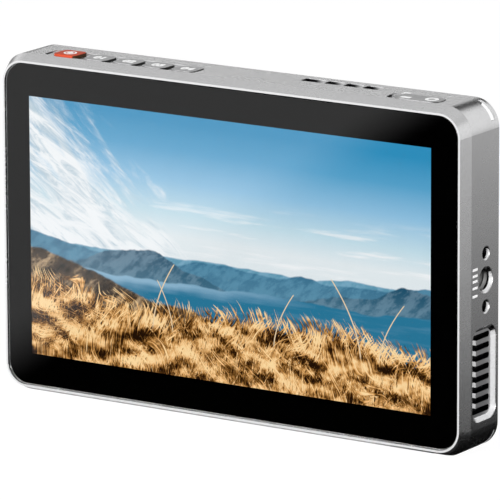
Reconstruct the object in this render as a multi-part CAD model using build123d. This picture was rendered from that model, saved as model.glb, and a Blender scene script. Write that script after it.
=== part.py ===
from build123d import *
import math
import os

# On-camera touch monitor in an aluminium housing. Millimetres. +X is to the viewer's right,
# the screen faces -Y and +Z is up. The origin is the centre of the base, at the middle of the
# overall depth from the lip to the battery contacts.

# Cover glass and display stack
glass_width = 137.1
glass_height = 85.50
glass_corner = 5.5
glass_thick = 0.7
glass_gap = 0.15
glass_sink = 0.1
tape_thick = 0.3
tape_width = 3.4
tape_corner = 1.5
border_side = 7.65
border_top = 8.3
module_margin = 2.2
adhesive_thick = 0.2
cell_thick = 1.0
film_thick = 0.5
guide_thick = 0.8
tray_wall = 0.35
tray_gap = 0.15
led_depth = 1.6

# Housing
lip_width = 0.53
nose_run = 1.42
nose_depth = 3.3
body_depth = 16.9
body_corner = 7.0
wall = 2.4
back_bevel = 0.35
ledge_thick = 1.2
ledge_gap = 0.6
mount_setback = 10.4

# Rear cover
cover_inset = 3.0
cover_thick = 1.6
cover_sink = 0.2
cover_gap = 0.12
cover_ledge = 1.3
cover_ledge_thick = 1.2

# Strap loops at the four rear corners
strap_slot = 2.2
strap_bar = 1.5
strap_bar_thick = 0.5
strap_depth = 2.0
strap_half_angle = 28.0
corner_block = 8.6
corner_floor = 1.6

# Mounting threads (1/4-20 UNC, minor diameter) with two locating holes
thread_bore = 5.2
thread_mouth = 6.9
thread_sink = 0.85
insert_cover = 1.0
insert_outer = 8.6
insert_length = 7.2
insert_fit = 0.02
locator_bore = 3.0
locator_mouth = 3.7
locator_depth = 2.4
locator_offset = 6.85
boss_length = 9.4
boss_half_depth = 5.4
boss_half_width = 10.0

# Key row
key_pitch = 9.0
key_width = 7.2
key_depth = 6.5
key_corner = 1.7
key_rise = 0.14
key_round = 0.12
key_gap = 0.1
key_front = 4.25
key_travel = 0.3
first_key_inset = 27.05
record_width = 7.3
record_inset = 17.7
record_rise = 0.45
record_round = 0.25
track_corner = 3.0
track_front = 3.9
track_back = 11.3
track_left_room = 3.1
track_right_room = 0.45
track_deep = 0.38
flange_grow = 0.5
flange_thick = 0.6
flange_gap = 0.1
stem_size = 2.0

# Power slider
slider_length = 13.4
slider_depth = 5.9
slider_inset = 17.45
slider_rise = 0.12
slider_round = 0.1
slider_travel = 2.2
slider_gap = 0.16
slider_corner = 2.4
slider_base = 0.42
slider_stem_length = 3.2
slider_stem_depth = 1.8

# Switch board under the keys
switch_size = 3.6
switch_height = 1.5
switch_nub = 0.4
press_gap = 0.05
switch_board_thick = 0.8
switch_board_depth = 6.4
bracket_thick = 0.8
bracket_lip = 0.4
bracket_leg = 3.2
bracket_clear = 0.4
slide_switch_long = 9.5
slide_switch_wide = 4.4
slide_switch_gap = 0.15
slide_stem_reach = 1.2

# Air vents
vent_low = 8.7
vent_tall = 24.2
vent_front = 4.0
vent_deep = 11.6
vent_corner = 3.2
vent_rim = 1.05
vent_gap = 0.06
grille_thick = 1.6
grille_seat = 0.6
grille_pad = 1.0
louvre_count = 8
louvre_pitch = 2.714
louvre_slot = 1.5
louvre_front = 5.45
louvre_long = 8.35
rib_end = 7.4
rib_end_deep = 1.2
intake_count = 4
intake_pitch = 5.7
intake_long = 4.9
intake_extra = 1.2
intake_wide = 3.6
intake_corner = 0.7
intake_last_inset = 34.3
intake_setback = 12.3
intake_slot_pitch = 2.5
intake_slot_wide = 1.3
light_size = 1.0
light_setback = 13.4
key_light_gap = 2.8
slider_light_gap = 5.0

# Chassis plate and circuit boards
chassis_gap = 0.6
chassis_thick = 1.0
chassis_side_gap = 8.25
chassis_top_gap = 7.25
ear_reach = 5.6
ear_width = 7.0
ear_offset = 24.0
pad_size = 12.0
pad_offset_x = 52.0
pad_offset_z = 17.5
board_gap = 0.9
board_thick = 1.2
board_left_gap = 2.6
board_right_gap = 46.25
board_low_gap = 2.6
board_high_gap = 7.5
board_notch_gap = 1.2
board_hole_inset = 4.0
chip_size = 15.0
chip_height = 1.3
chip_inset = 20.0
ram_spacing = 14.0
ram_height = 0.9
chip_z = 30.0
ram_size = 9.0
ram_card_gap = 1.0
shield_width = 26.0
shield_height = 20.0
shield_tall = 2.0
shield_wall = 0.3
shield_inset = 26.0
shield_drop = 17.4
coil_count = 3
coil_pitch = 11.0
coil_tall = 2.7
pad_thick = 0.4
sink_width = 34.0
sink_height = 26.0
sink_base = 1.0
fin_count = 9
fin_thick = 0.9
fin_tall = 2.4

# Blower
fan_width = 33.0
fan_low = 9.6
fan_top_gap = 1.65
fan_depth = 6.8
fan_wall = 0.9
fan_right_gap = 0.5
rotor_side_gap = 1.4
rotor_gap = 0.8
hub_radius = 4.6
hub_wall = 0.7
blade_count = 17
blade_thick = 0.7
blade_sweep = 24.0
axle_radius = 1.0
axle_gap = 0.04
stator_gap = 0.4
stator_height = 2.4
fan_eye_lip = 1.2

# Side connectors, top to bottom on the left side
port_gap = 0.25
port_recess = 0.3
port_lift = 0.05
hdmi_long = 14.8
hdmi_wide = 5.3
hdmi_deep = 11.0
hdmi_in_z = 63.5
hdmi_out_z = 44.0
shell_wall = 0.4
usb_long = 8.94
usb_wide = 3.2
usb_deep = 7.3
usb_z = 30.2
jack_size = 5.6
jack_bore = 3.6
jack_deep = 11.0
jack_z = 19.4
card_slot_long = 24.6
card_slot_thick = 2.5
card_deep = 27.0
card_inset = 30.65
card_shell = 0.9

# Battery plate for a slide-on camcorder battery
plate_width = 42.0
plate_height = 77.0
plate_thick = 2.4
plate_corner = 2.5
rail_long = 9.0
rail_thick = 1.8
rail_tall = 3.6
rail_lip = 1.4
rail_lip_thick = 1.2
rail_offset = 20.0
block_long = 28.0
block_wide = 7.0
block_tall = 5.2
block_low = 1.0
blade_root = 5.0
plate_screw_inset = 4.6
blade_pitch = 6.6
blade_contact_long = 6.4
blade_contact_wide = 3.2
blade_contact_thick = 0.7
latch_rise = 20.0
latch_pad_neck = 2.0
latch_gap = 0.1
latch_sink = 0.1
latch_skin = 0.6
latch_arm_wide = 9.0
latch_arm_thick = 0.8
latch_end = 7.0
latch_pad_x = 28.0
latch_pad_wide = 8.0
latch_pad_corner = 2.0
latch_pad_rise = 1.0
latch_tongue_long = 9.0
latch_tongue_wide = 2.6
latch_tongue_rise = 1.8
latch_pan_wall = 0.8
spring_solid = 1.7
spring_radius = 1.5
spring_wire = 0.35
spring_turns = 3.0
spring_spread = 12.0

# Speaker
speaker_long = 18.0
speaker_wide = 11.0
speaker_thick = 3.6
speaker_inset = 26.65
speaker_z = 47.0
speaker_hole = 1.2
speaker_rows = 3
speaker_columns = 5
speaker_pitch = 2.4

# Flat cables
flex_thick = 0.2
flex_landing = 8.0
key_flex_drop = 3.0
display_flex_wide = 22.0
touch_flex_wide = 8.0
touch_flex_gap = 3.0
key_flex_wide = 5.0

# Screws
cover_screw = 2.0
cover_screw_head = 3.8
cover_screw_head_tall = 1.0
cover_screw_grip = 2.6
cover_post_end = 0.7
cover_post = 5.2
cover_screw_inset_x = 13.0
cover_screw_inset_z = 6.4
cover_mid_screw_top = 8.0
cover_mid_screw_low = 22.5
small_screw = 1.6
small_head = 3.0
small_head_tall = 0.8
small_post = 3.8
small_screw_grip = 1.6
plate_screw_grip = 2.6
screw_fit = 0.02
head_gap = 0.15

# Derived places
active_width = glass_width - 2 * border_side
active_height = glass_height - 2 * border_top
body_width = glass_width + 2 * (glass_gap + lip_width + nose_run)
body_height = glass_height + 2 * (glass_gap + lip_width + nose_run)
half_width = body_width / 2
mid_z = body_height / 2
overall_depth = body_depth - cover_sink + plate_thick + block_tall
front = -overall_depth / 2
back = front + body_depth
mount_y = front + mount_setback
glass_front = front + glass_sink
glass_back = glass_front + glass_thick
glass_seat = glass_back + tape_thick
ledge_back = glass_seat + ledge_thick
module_width = active_width + 2 * module_margin
module_height = active_height + 2 * module_margin
cell_front = glass_back + adhesive_thick
film_front = cell_front + cell_thick
guide_front = film_front + film_thick
tray_front = guide_front + guide_thick
tray_back = tray_front + tray_wall
chassis_front = tray_back + chassis_gap
chassis_back = chassis_front + chassis_thick
board_front = chassis_back + board_gap
board_back = board_front + board_thick
cover_front = back - cover_sink - cover_thick
cover_back = back - cover_sink
inner_half_width = half_width - wall
inner_top = body_height - wall
plate_back = cover_back + plate_thick
chassis_width = 2 * (inner_half_width - chassis_side_gap)
chassis_height = 2 * (mid_z - wall - chassis_top_gap)
board_left = -inner_half_width + board_left_gap
board_right = inner_half_width - board_right_gap
board_low = wall + board_low_gap
board_high = inner_top - board_high_gap
chip_x = board_right - chip_inset
shield_x = board_right - shield_inset
shield_z = board_high - shield_drop
card_x = -half_width + card_inset
speaker_x = half_width - speaker_inset
record_offset = -half_width + record_inset
slider_offset = half_width - slider_inset


def slab(profile, y0, y1):
    """Extrude an XZ profile from y0 back to y1."""
    plane = Plane(origin=(0, y1, 0), x_dir=(1, 0, 0), z_dir=(0, -1, 0))
    return extrude(plane * profile, amount=y1 - y0)


def tower(profile, z0, z1):
    """Extrude an XY profile from z0 up to z1."""
    return extrude(Pos(0, 0, z0) * profile, amount=z1 - z0)


def beam(profile, x0, x1):
    """Extrude a YZ profile from x0 to x1."""
    plane = Plane(origin=(x0, 0, 0), x_dir=(0, 1, 0), z_dir=(1, 0, 0))
    return extrude(plane * profile, amount=x1 - x0)


def panel(width, height, corner, x=0.0, z=mid_z):
    return Pos(x, z) * RectangleRounded(width, height, corner)


def patch(width, height, x, z):
    return Pos(x, z) * Rectangle(width, height)


def outline(inset, corner):
    return panel(body_width - 2 * inset, body_height - 2 * inset, corner)


def disc(radius, x, z):
    return Pos(x, z) * Circle(radius)


def fuse(parts):
    whole = parts[0]
    for part in parts[1:]:
        whole = whole + part
    return whole


def group(parts):
    return Compound(children=list(parts))


# Screw positions (x, z) seen from the front
cover_screw_x = half_width - cover_screw_inset_x
cover_screw_high = body_height - cover_screw_inset_z
cover_screws_at = [
    (sign * x, z)
    for sign in (-1, 1)
    for x, z in (
        (cover_screw_x, cover_screw_inset_z),
        (cover_screw_x, cover_screw_high),
        (cover_mid_screw_top, cover_screw_high),
        (cover_mid_screw_low, cover_screw_inset_z),
    )
]
ear_x = chassis_width / 2 + ear_reach
ears_at = [(-ear_x, mid_z - ear_offset), (-ear_x, mid_z + ear_offset), (ear_x, mid_z + ear_offset)]
board_screw_rise = chassis_height / 2 - board_hole_inset
board_screws_at = [
    (x, mid_z + sign * board_screw_rise)
    for x in (-chassis_width / 2 + board_hole_inset, board_right - board_hole_inset)
    for sign in (-1, 1)
]


# Housing
def strap_corner(sign_x, sign_z):
    """A slot at one rear corner; at the top a window behind it leaves a strap bar."""
    centre = (sign_x * (half_width - body_corner), mid_z + sign_z * (mid_z - body_corner))
    inner = body_corner - strap_bar_thick - strap_depth
    reach = 2 * body_corner
    middle = math.degrees(math.atan2(sign_z, sign_x))
    rays = [math.radians(middle + turn * strap_half_angle) for turn in (-1, 1)]
    corners = [(reach * math.cos(ray), reach * math.sin(ray)) for ray in rays]
    sector = Polygon((0, 0), corners[0], corners[1], align=None)
    slot_back = back - strap_bar
    slot_front = slot_back - strap_slot
    slot = slab(Pos(*centre) * (sector - Circle(inner)), slot_front, slot_back)
    if sign_z < 0:
        return slot
    window = Pos(*centre) * ((sector - Circle(inner)) & Circle(body_corner - strap_bar_thick))
    return slot + slab(window, slot_front, back + 1)


def corner_blocks():
    block_front = back - strap_bar - strap_slot - corner_floor
    blocks = []
    for sign_x in (-1, 1):
        for sign_z in (-1, 1):
            x = sign_x * (half_width - corner_block / 2)
            z = mid_z + sign_z * (mid_z - corner_block / 2)
            blocks.append(slab(patch(corner_block, corner_block, x, z), block_front, back))
    return fuse(blocks)


def cover_posts():
    """Screw posts for the rear cover, each webbed to the nearer long wall."""
    post_front = cover_front - cover_screw_grip - cover_post_end
    posts = []
    for x, z in cover_screws_at:
        edge = 0 if z < mid_z else body_height
        web = patch(cover_post, abs(z - edge), x, (z + edge) / 2)
        posts.append(slab(disc(cover_post / 2, x, z) + web, post_front, cover_front))
    return fuse(posts)


def ear_posts():
    posts = [slab(disc(small_post / 2, x, z), glass_seat, chassis_front) for x, z in ears_at]
    return fuse(posts)


def mount_bosses():
    side = Pos(mount_y, mid_z) * Rectangle(2 * boss_half_depth, 2 * boss_half_width)
    base = Pos(0, mount_y) * Rectangle(2 * boss_half_width, 2 * boss_half_depth)
    right = beam(side, half_width - boss_length, half_width)
    return right + tower(base, 0, boss_length)


def mount_holes(axis_plane):
    """A threaded-insert pocket with its mouth and two locating holes, cut inwards from a plane."""
    throat = thread_bore / 2
    mouth = thread_mouth / 2
    hole = Circle(throat + screw_fit)
    pocket = Circle(insert_outer / 2 + insert_fit)
    cuts = [
        extrude(axis_plane * hole, amount=-insert_cover),
        extrude(axis_plane.offset(-insert_cover) * pocket, amount=-boss_length),
        loft([axis_plane * Circle(mouth), axis_plane.offset(-thread_sink) * Circle(throat)]),
    ]
    rim = (locator_mouth - locator_bore) / 2
    for sign in (-1, 1):
        spot = Pos(0, sign * locator_offset)
        cuts.append(extrude(axis_plane * spot * Circle(locator_bore / 2), amount=-locator_depth))
        wide = axis_plane * spot * Circle(locator_mouth / 2)
        narrow = axis_plane.offset(-rim) * spot * Circle(locator_bore / 2)
        cuts.append(loft([wide, narrow]))
    return fuse(cuts)


right_mount_plane = Plane(origin=(half_width, mount_y, mid_z), x_dir=(0, 1, 0), z_dir=(1, 0, 0))
base_mount_plane = Plane(origin=(0, mount_y, 0), x_dir=(0, 1, 0), z_dir=(0, 0, -1))


def vent_profile(inset):
    y = front + vent_front + vent_deep / 2
    z = vent_low + vent_tall / 2
    shape = RectangleRounded(vent_deep - 2 * inset, vent_tall - 2 * inset, vent_corner - inset)
    return Pos(y, z) * shape


def vent_cut():
    floor_x = half_width - vent_rim
    over = 0.2
    faces = []
    for x, inset in ((half_width + over, -over), (floor_x, vent_rim)):
        plane = Plane(origin=(x, 0, 0), x_dir=(0, 1, 0), z_dir=(1, 0, 0))
        faces.append(plane * vent_profile(inset))
    rim = loft(faces, ruled=True)
    seat = beam(vent_profile(vent_rim), floor_x - grille_thick, floor_x)
    window = beam(vent_profile(vent_rim + grille_seat), inner_half_width - 2 * grille_pad, floor_x)
    return rim + seat + window


def vent_pad():
    """The wall is thicker inside the vent, to carry the grille's seat."""
    depth = cover_front - cover_ledge_thick - ledge_back
    y = ledge_back + depth / 2
    profile = Pos(y, vent_low + vent_tall / 2) * Rectangle(depth, vent_tall)
    return beam(profile, inner_half_width - grille_pad, half_width)


key_y = front + key_front + key_depth / 2
keys_at = [-half_width + first_key_inset + index * key_pitch for index in range(4)]
caps_at = [(record_offset, record_width)] + [(x, key_width) for x in keys_at]
track_left = record_offset - record_width / 2 - track_left_room
track_right = keys_at[-1] + key_width / 2 + track_right_room
slider_y = front + key_front + slider_depth / 2
slider_base_z = body_height - slider_base


def cap_profile(x, width, grow):
    shape = RectangleRounded(width + 2 * grow, key_depth + 2 * grow, key_corner + grow)
    return Pos(x, key_y) * shape


def key_cuts():
    depth = track_back - track_front
    centre = ((track_left + track_right) / 2, front + track_front + depth / 2)
    track = Pos(*centre) * RectangleRounded(track_right - track_left, depth, track_corner)
    cuts = [tower(track, body_height - track_deep, body_height + 1)]
    for x, width in caps_at:
        cuts.append(tower(cap_profile(x, width, key_gap), inner_top - 1, body_height))
    return fuse(cuts)


def slider_cuts():
    x = slider_offset - slider_travel / 2
    length = slider_length + slider_travel + 2 * slider_gap
    depth = slider_depth + 2 * slider_gap
    pocket = Pos(x, slider_y) * RectangleRounded(length, depth, slider_corner + slider_gap)
    slot_long = slider_stem_length + slider_travel + 2 * slider_gap
    slot = Pos(x, slider_y) * Rectangle(slot_long, slider_stem_depth + 2 * slider_gap)
    deep = tower(pocket, slider_base_z - slider_gap, body_height + 1)
    return deep + tower(slot, inner_top - 1, body_height)


intakes_at = [half_width - intake_last_inset - index * intake_pitch for index in range(intake_count)]
lights_at = [keys_at[-1] + key_light_gap, slider_offset + slider_light_gap]
intake_y = front + intake_setback


def intake_cuts():
    spans = [(x, intake_long) for x in intakes_at[:-1]]
    spans.append((intakes_at[-1] - intake_extra / 2, intake_long + intake_extra))
    cuts = []
    for x, long in spans:
        shape = RectangleRounded(long, intake_wide, intake_corner)
        cuts.append(tower(Pos(x, intake_y) * shape, inner_top - 1, body_height + 1))
    return fuse(cuts)


hdmi_y = board_back + port_lift + hdmi_wide / 2
usb_y = board_back + port_lift + usb_wide / 2
jack_y = board_back + port_lift + jack_size / 2
card_y = board_back + port_lift + card_shell + card_slot_thick / 2


def port_cuts():
    left = -half_width - 1
    right = -inner_half_width + 1
    cuts = []
    for z in (hdmi_in_z, hdmi_out_z):
        shape = RectangleRounded(hdmi_wide + 2 * port_gap, hdmi_long + 2 * port_gap, 3 * port_gap)
        cuts.append(beam(Pos(hdmi_y, z) * shape, left, right))
    slot = SlotOverall(usb_long + 2 * port_gap, usb_wide + 2 * port_gap, rotation=90)
    cuts.append(beam(Pos(usb_y, usb_z) * slot, left, right))
    cuts.append(beam(Pos(jack_y, jack_z) * Circle(jack_size / 2 + port_gap), left, right))
    card = RectangleRounded(card_slot_long, card_slot_thick, port_gap)
    cuts.append(tower(Pos(card_x, card_y) * card, -1, wall + 1))
    return fuse(cuts)


def housing():
    shell = slab(outline(0, body_corner), front + nose_depth, back)
    shell = chamfer(shell.faces().sort_by(Axis.Y)[-1].edges(), back_bevel)
    nose_plane = Plane(origin=(0, front, 0), x_dir=(1, 0, 0), z_dir=(0, -1, 0))
    lip_corner = glass_corner + glass_gap + lip_width
    lip = nose_plane * outline(nose_run, lip_corner)
    root = nose_plane.offset(-nose_depth) * outline(0, body_corner)
    shell = shell + loft([lip, root], ruled=True)

    pocket = panel(glass_width + 2 * glass_gap, glass_height + 2 * glass_gap, glass_corner + glass_gap)
    shell = shell - slab(pocket, front - 1, glass_seat)
    opening_width = module_width + 2 * ledge_gap
    opening = panel(opening_width, module_height + 2 * ledge_gap, ledge_gap)
    shell = shell - slab(opening, glass_seat, ledge_back)

    rear_seat = cover_front - cover_ledge_thick
    cavity = slab(outline(wall, body_corner - wall), ledge_back, rear_seat)
    throat_inset = cover_inset + cover_ledge
    cavity = cavity + slab(outline(throat_inset, body_corner), rear_seat, cover_front)
    solid = corner_blocks() + cover_posts() + ear_posts() + mount_bosses() + vent_pad()
    shell = shell - (cavity - solid)
    shell = shell - slab(outline(cover_inset - cover_gap, body_corner + cover_gap), cover_front, back + 1)

    for sign_x in (-1, 1):
        for sign_z in (-1, 1):
            shell = shell - strap_corner(sign_x, sign_z)
    for x, z in cover_screws_at:
        core = disc(cover_screw / 2 + screw_fit, x, z)
        shell = shell - slab(core, cover_front - cover_screw_grip - screw_fit, cover_front)
    for x, z in ears_at:
        core = disc(small_screw / 2 + screw_fit, x, z)
        shell = shell - slab(core, chassis_front - small_screw_grip - screw_fit, chassis_front)
    shell = shell - mount_holes(right_mount_plane) - mount_holes(base_mount_plane)
    shell = shell - vent_cut() - key_cuts() - slider_cuts() - intake_cuts() - port_cuts()
    for x in lights_at:
        hole = Pos(x, front + light_setback) * Circle(light_size / 2)
        shell = shell - tower(hole, inner_top - 1, body_height + 1)
    for x in bracket_screws_at:
        hole = Pos(x, key_y) * Circle(small_screw / 2 + screw_fit)
        shell = shell - tower(hole, inner_top - 1, inner_top + small_screw_grip + screw_fit)
    return shell


# Display
def ring(profile, opening, y0, y1):
    return slab(profile - opening, y0, y1)


def cover_glass():
    pane = slab(panel(glass_width, glass_height, glass_corner), glass_front, glass_back)
    return chamfer(pane.faces().sort_by(Axis.Y)[0].edges(), glass_gap)


def glass_tape():
    edge = 2 * glass_gap
    outer = panel(glass_width - edge, glass_height - edge, glass_corner)
    inner = panel(glass_width - 2 * tape_width, glass_height - 2 * tape_width, tape_corner)
    return ring(outer, inner, glass_back, glass_seat)


def sheet(trim, y0, y1):
    return slab(patch(module_width - 2 * trim, module_height - 2 * trim, 0, mid_z), y0, y1)


tray_inside = tray_wall + tray_gap


def light_guide():
    width = module_width - 2 * tray_inside
    height = module_height - 2 * tray_inside - led_depth
    z = mid_z + led_depth / 2
    return slab(patch(width, height, 0, z), guide_front, tray_front)


def led_strip():
    """Light-emitting diodes along the lower edge of the light guide, on one narrow strip."""
    low = mid_z - module_height / 2 + tray_inside
    carrier = slab(patch(active_width, led_depth / 3, 0, low + led_depth / 6), guide_front, tray_front)
    count = 20
    diodes = [carrier]
    for index in range(count):
        x = (index - (count - 1) / 2) * active_width / count
        spot = patch(active_width / count / 2, led_depth * 0.9, x, low + led_depth * 0.45)
        diodes.append(slab(spot, guide_front, tray_front))
    return fuse(diodes)


def backlight_tray():
    outer = sheet(0, film_front, tray_back)
    return outer - sheet(tray_wall, film_front, tray_front)


def display_pads():
    pads = []
    for x in (-pad_offset_x, 0, pad_offset_x):
        for sign in (-1, 1):
            spot = patch(pad_size, pad_size, x, mid_z + sign * pad_offset_z)
            pads.append(slab(spot, tray_back, chassis_front))
    return group(pads)


# Chassis plate, circuit board and what sits on it
display_flex_x = -chassis_width / 4
touch_flex_x = pad_size / 2 + touch_flex_gap + touch_flex_wide / 2
flex_window_z = mid_z - pad_offset_z + pad_size
flex_window_tall = 3.0


def chassis_plate():
    plate = slab(panel(chassis_width, chassis_height, small_post), chassis_front, chassis_back)
    for x, z in ears_at:
        inner_x = math.copysign(chassis_width / 2 - ear_width, x)
        ear = patch(abs(x - inner_x), ear_width, (x + inner_x) / 2, z)
        plate = plate + slab(ear + disc(ear_width / 2 - 1, x, z), chassis_front, chassis_back)
    for x, z in board_screws_at:
        plate = plate + slab(disc(small_post / 2, x, z), chassis_front, board_front)
        core = disc(small_screw / 2 + screw_fit, x, z)
        plate = plate - slab(core, board_front - small_screw_grip - screw_fit, board_front)
    for x, z in ears_at:
        plate = plate - slab(disc(small_screw / 2 + screw_fit, x, z), chassis_front, chassis_back)
    for x, z in fan_screws_at:
        plate = plate - slab(disc(small_screw / 2 + screw_fit, x, z), chassis_front, chassis_back)
    for x, wide in ((display_flex_x, display_flex_wide), (touch_flex_x, touch_flex_wide)):
        window = patch(wide + flex_window_tall, flex_window_tall, x, flex_window_z)
        plate = plate - slab(window, chassis_front, chassis_back)
    return plate


def main_board():
    width = board_right - board_left
    height = board_high - board_low
    sheet_face = patch(width, height, board_left + width / 2, board_low + height / 2)
    notch = 2 * (boss_half_width + board_notch_gap)
    top = boss_length + board_notch_gap
    face = sheet_face - patch(notch, 2 * top, 0, 0)
    for x, z in board_screws_at:
        face = face - disc(small_screw / 2 + screw_fit, x, z)
    return slab(face, board_front, board_back)


def processor():
    return slab(patch(chip_size, chip_size, chip_x, chip_z), board_back, board_back + chip_height)


def memory_chips():
    """Two chips beside the processor, above the end of the card socket."""
    z = wall + port_lift + card_deep + ram_card_gap + ram_size / 2
    chips = []
    for sign in (-1, 1):
        spot = patch(ram_size, ram_size, chip_x + sign * ram_spacing, z)
        chips.append(slab(spot, board_back, board_back + ram_height))
    return group(chips)


def shield_can():
    back_y = board_back + shield_tall
    outer = slab(patch(shield_width, shield_height, shield_x, shield_z), board_back, back_y)
    inside = patch(shield_width - 2 * shield_wall, shield_height - 2 * shield_wall, shield_x, shield_z)
    return outer - slab(inside, board_back, back_y - shield_wall)


def power_coils():
    coils = []
    for index in range(coil_count):
        z = shield_z + (index - (coil_count - 1) / 2) * coil_pitch
        spot = panel(ram_size, ram_size, ram_size / 9, shield_x - shield_width, z)
        coils.append(slab(spot, board_back, board_back + coil_tall))
    return group(coils)


pad_front = board_back + chip_height
sink_front = pad_front + pad_thick


def thermal_pad():
    return slab(patch(chip_size, chip_size, chip_x, chip_z), pad_front, sink_front)


def heat_sink():
    """A finned block on the processor; its fins run along X, towards the blower."""
    base_back = sink_front + sink_base
    base = slab(patch(sink_width, sink_height, chip_x, chip_z), sink_front, base_back)
    step = (sink_height - fin_thick) / (fin_count - 1)
    parts = [base]
    for index in range(fin_count):
        z = chip_z - (sink_height - fin_thick) / 2 + index * step
        parts.append(slab(patch(sink_width, fin_thick, chip_x, z), base_back, base_back + fin_tall))
    return fuse(parts)


# Blower
fan_front = chassis_back
fan_back = fan_front + fan_depth
fan_right = inner_half_width - grille_pad - fan_right_gap
fan_height = mid_z - boss_half_width - fan_top_gap - fan_low
fan_round = fan_height / 2
rotor_radius = fan_round - fan_wall - rotor_side_gap
fan_eye_radius = rotor_radius - fan_eye_lip
fan_x = fan_right - fan_width + fan_round
fan_z = fan_low + fan_height / 2
fan_floor = fan_front + fan_wall
fan_lid = fan_back - fan_wall
fan_lug_x = fan_x - fan_round - small_post / 2 + fan_wall
fan_screws_at = [(fan_lug_x, fan_z + sign * fan_height / 4) for sign in (-1, 1)]
rotor_front = fan_floor + rotor_gap
rotor_back = fan_lid - rotor_gap
sleeve_radius = 2 * axle_radius


def fan_profile(inset, right):
    round_part = disc(fan_round - inset, fan_x, fan_z)
    duct = patch(right - fan_x, fan_height - 2 * inset, (right + fan_x) / 2, fan_z)
    return round_part + duct


def fan_housing():
    body = slab(fan_profile(0, fan_right), fan_front, fan_lid)
    for x, z in fan_screws_at:
        lug = patch(fan_round, small_post, x + fan_round / 2, z) + disc(small_post / 2, x, z)
        body = body + slab(lug, fan_front, fan_floor)
    body = body - slab(fan_profile(fan_wall, fan_right + 1), fan_floor, fan_lid)
    for x, z in fan_screws_at:
        body = body - slab(disc(small_screw / 2 + screw_fit, x, z), fan_front, fan_floor)
    return body + slab(disc(axle_radius, fan_x, fan_z), fan_floor, rotor_back)


def fan_stator():
    inner = sleeve_radius + stator_gap
    outer = hub_radius - hub_wall - stator_gap
    return ring(disc(outer, fan_x, fan_z), disc(inner, fan_x, fan_z), fan_floor, fan_floor + stator_height)


def fan_rotor():
    """A cup over the stator, a sleeve on the axle and swept blades."""
    place = Pos(fan_x, fan_z)
    root = hub_radius - hub_wall / 2
    strip = Rectangle(rotor_radius - root + 1, blade_thick)
    blade = Pos((root + rotor_radius) / 2, 0) * Rot(0, 0, blade_sweep) * strip
    blades = Sketch() + [Rot(0, 0, index * 360 / blade_count) * blade for index in range(blade_count)]
    fan = (blades & Circle(rotor_radius)) - Circle(root)
    ring_face = Circle(hub_radius) - Circle(hub_radius - hub_wall)
    wheel = slab(place * (fan + ring_face), rotor_front, rotor_back)
    bore = Circle(axle_radius + axle_gap)
    top = slab(place * (Circle(hub_radius) - bore), rotor_back - hub_wall, rotor_back)
    sleeve = slab(place * (Circle(sleeve_radius) - bore), rotor_front, rotor_back)
    return wheel + top + sleeve


def fan_cover():
    return ring(fan_profile(0, fan_right), disc(fan_eye_radius, fan_x, fan_z), fan_lid, fan_back)


# Right-hand vent
def vent_grille():
    """Louvred plate; a channel along the front lets the ribs end free."""
    floor_x = half_width - vent_rim
    plate = beam(vent_profile(vent_rim + vent_gap), floor_x - grille_thick, floor_x)
    middle_z = vent_low + vent_tall / 2
    channel_wide = rib_end - louvre_front
    channel_tall = (louvre_count - 1) * louvre_pitch + louvre_slot
    channel = Pos(front + louvre_front + channel_wide / 2, middle_z) * Rectangle(channel_wide, channel_tall)
    plate = plate - beam(channel, floor_x - rib_end_deep, half_width)
    slot = RectangleRounded(louvre_long, louvre_slot, louvre_slot / 2.5)
    for index in range(louvre_count):
        z = middle_z + (index - (louvre_count - 1) / 2) * louvre_pitch
        y = front + louvre_front + louvre_long / 2
        plate = plate - beam(Pos(y, z) * slot, floor_x - 2 * grille_thick, half_width)
    return plate


def mount_inserts():
    inserts = []
    for plane in (right_mount_plane, base_mount_plane):
        face = plane.offset(-insert_cover)
        bush = Circle(insert_outer / 2) - Circle(thread_bore / 2)
        inserts.append(extrude(face * bush, amount=-insert_length))
    return group(inserts)


# Keys, slider and the boards under them
flange_top = inner_top - flange_gap
flange_low = flange_top - flange_thick
stem_short = 0.5
nub_top = flange_low - stem_short - key_travel - press_gap
switch_board_top = nub_top - switch_nub - switch_height
switch_board_low = switch_board_top - switch_board_thick
bracket_low = switch_board_low - bracket_thick


def key_cap(x, width, rise, edge_round):
    crown = tower(cap_profile(x, width, 0), flange_low, body_height + rise)
    crown = fillet(crown.faces().sort_by(Axis.Z)[-1].edges(), edge_round)
    flange = tower(cap_profile(x, width, flange_grow), flange_low, flange_top)
    stem = tower(Pos(x, key_y) * Circle(stem_size / 2), nub_top + key_travel + press_gap, flange_low)
    return crown + flange + stem


def tact_switches():
    bodies = []
    for x, width in caps_at:
        place = Pos(x, key_y)
        body = tower(place * Rectangle(switch_size, switch_size), switch_board_top, nub_top - switch_nub)
        bodies.append(body + tower(place * Circle(stem_size / 2), nub_top - switch_nub, nub_top))
    return group(bodies)


key_bracket_left = track_left - bracket_clear - bracket_leg
key_bracket_right = track_right + 2 * bracket_clear + bracket_leg
slider_room = (slider_length + slider_travel) / 2 + slider_gap + bracket_clear + bracket_leg
power_bracket_left = slider_offset - slider_travel / 2 - slider_room
power_bracket_right = slider_offset - slider_travel / 2 + slider_room
bracket_spans = [(key_bracket_left, key_bracket_right), (power_bracket_left, power_bracket_right)]
bracket_screws_at = [
    x for span in bracket_spans for x in (span[0] + bracket_leg / 2, span[1] - bracket_leg / 2)
]


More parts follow.
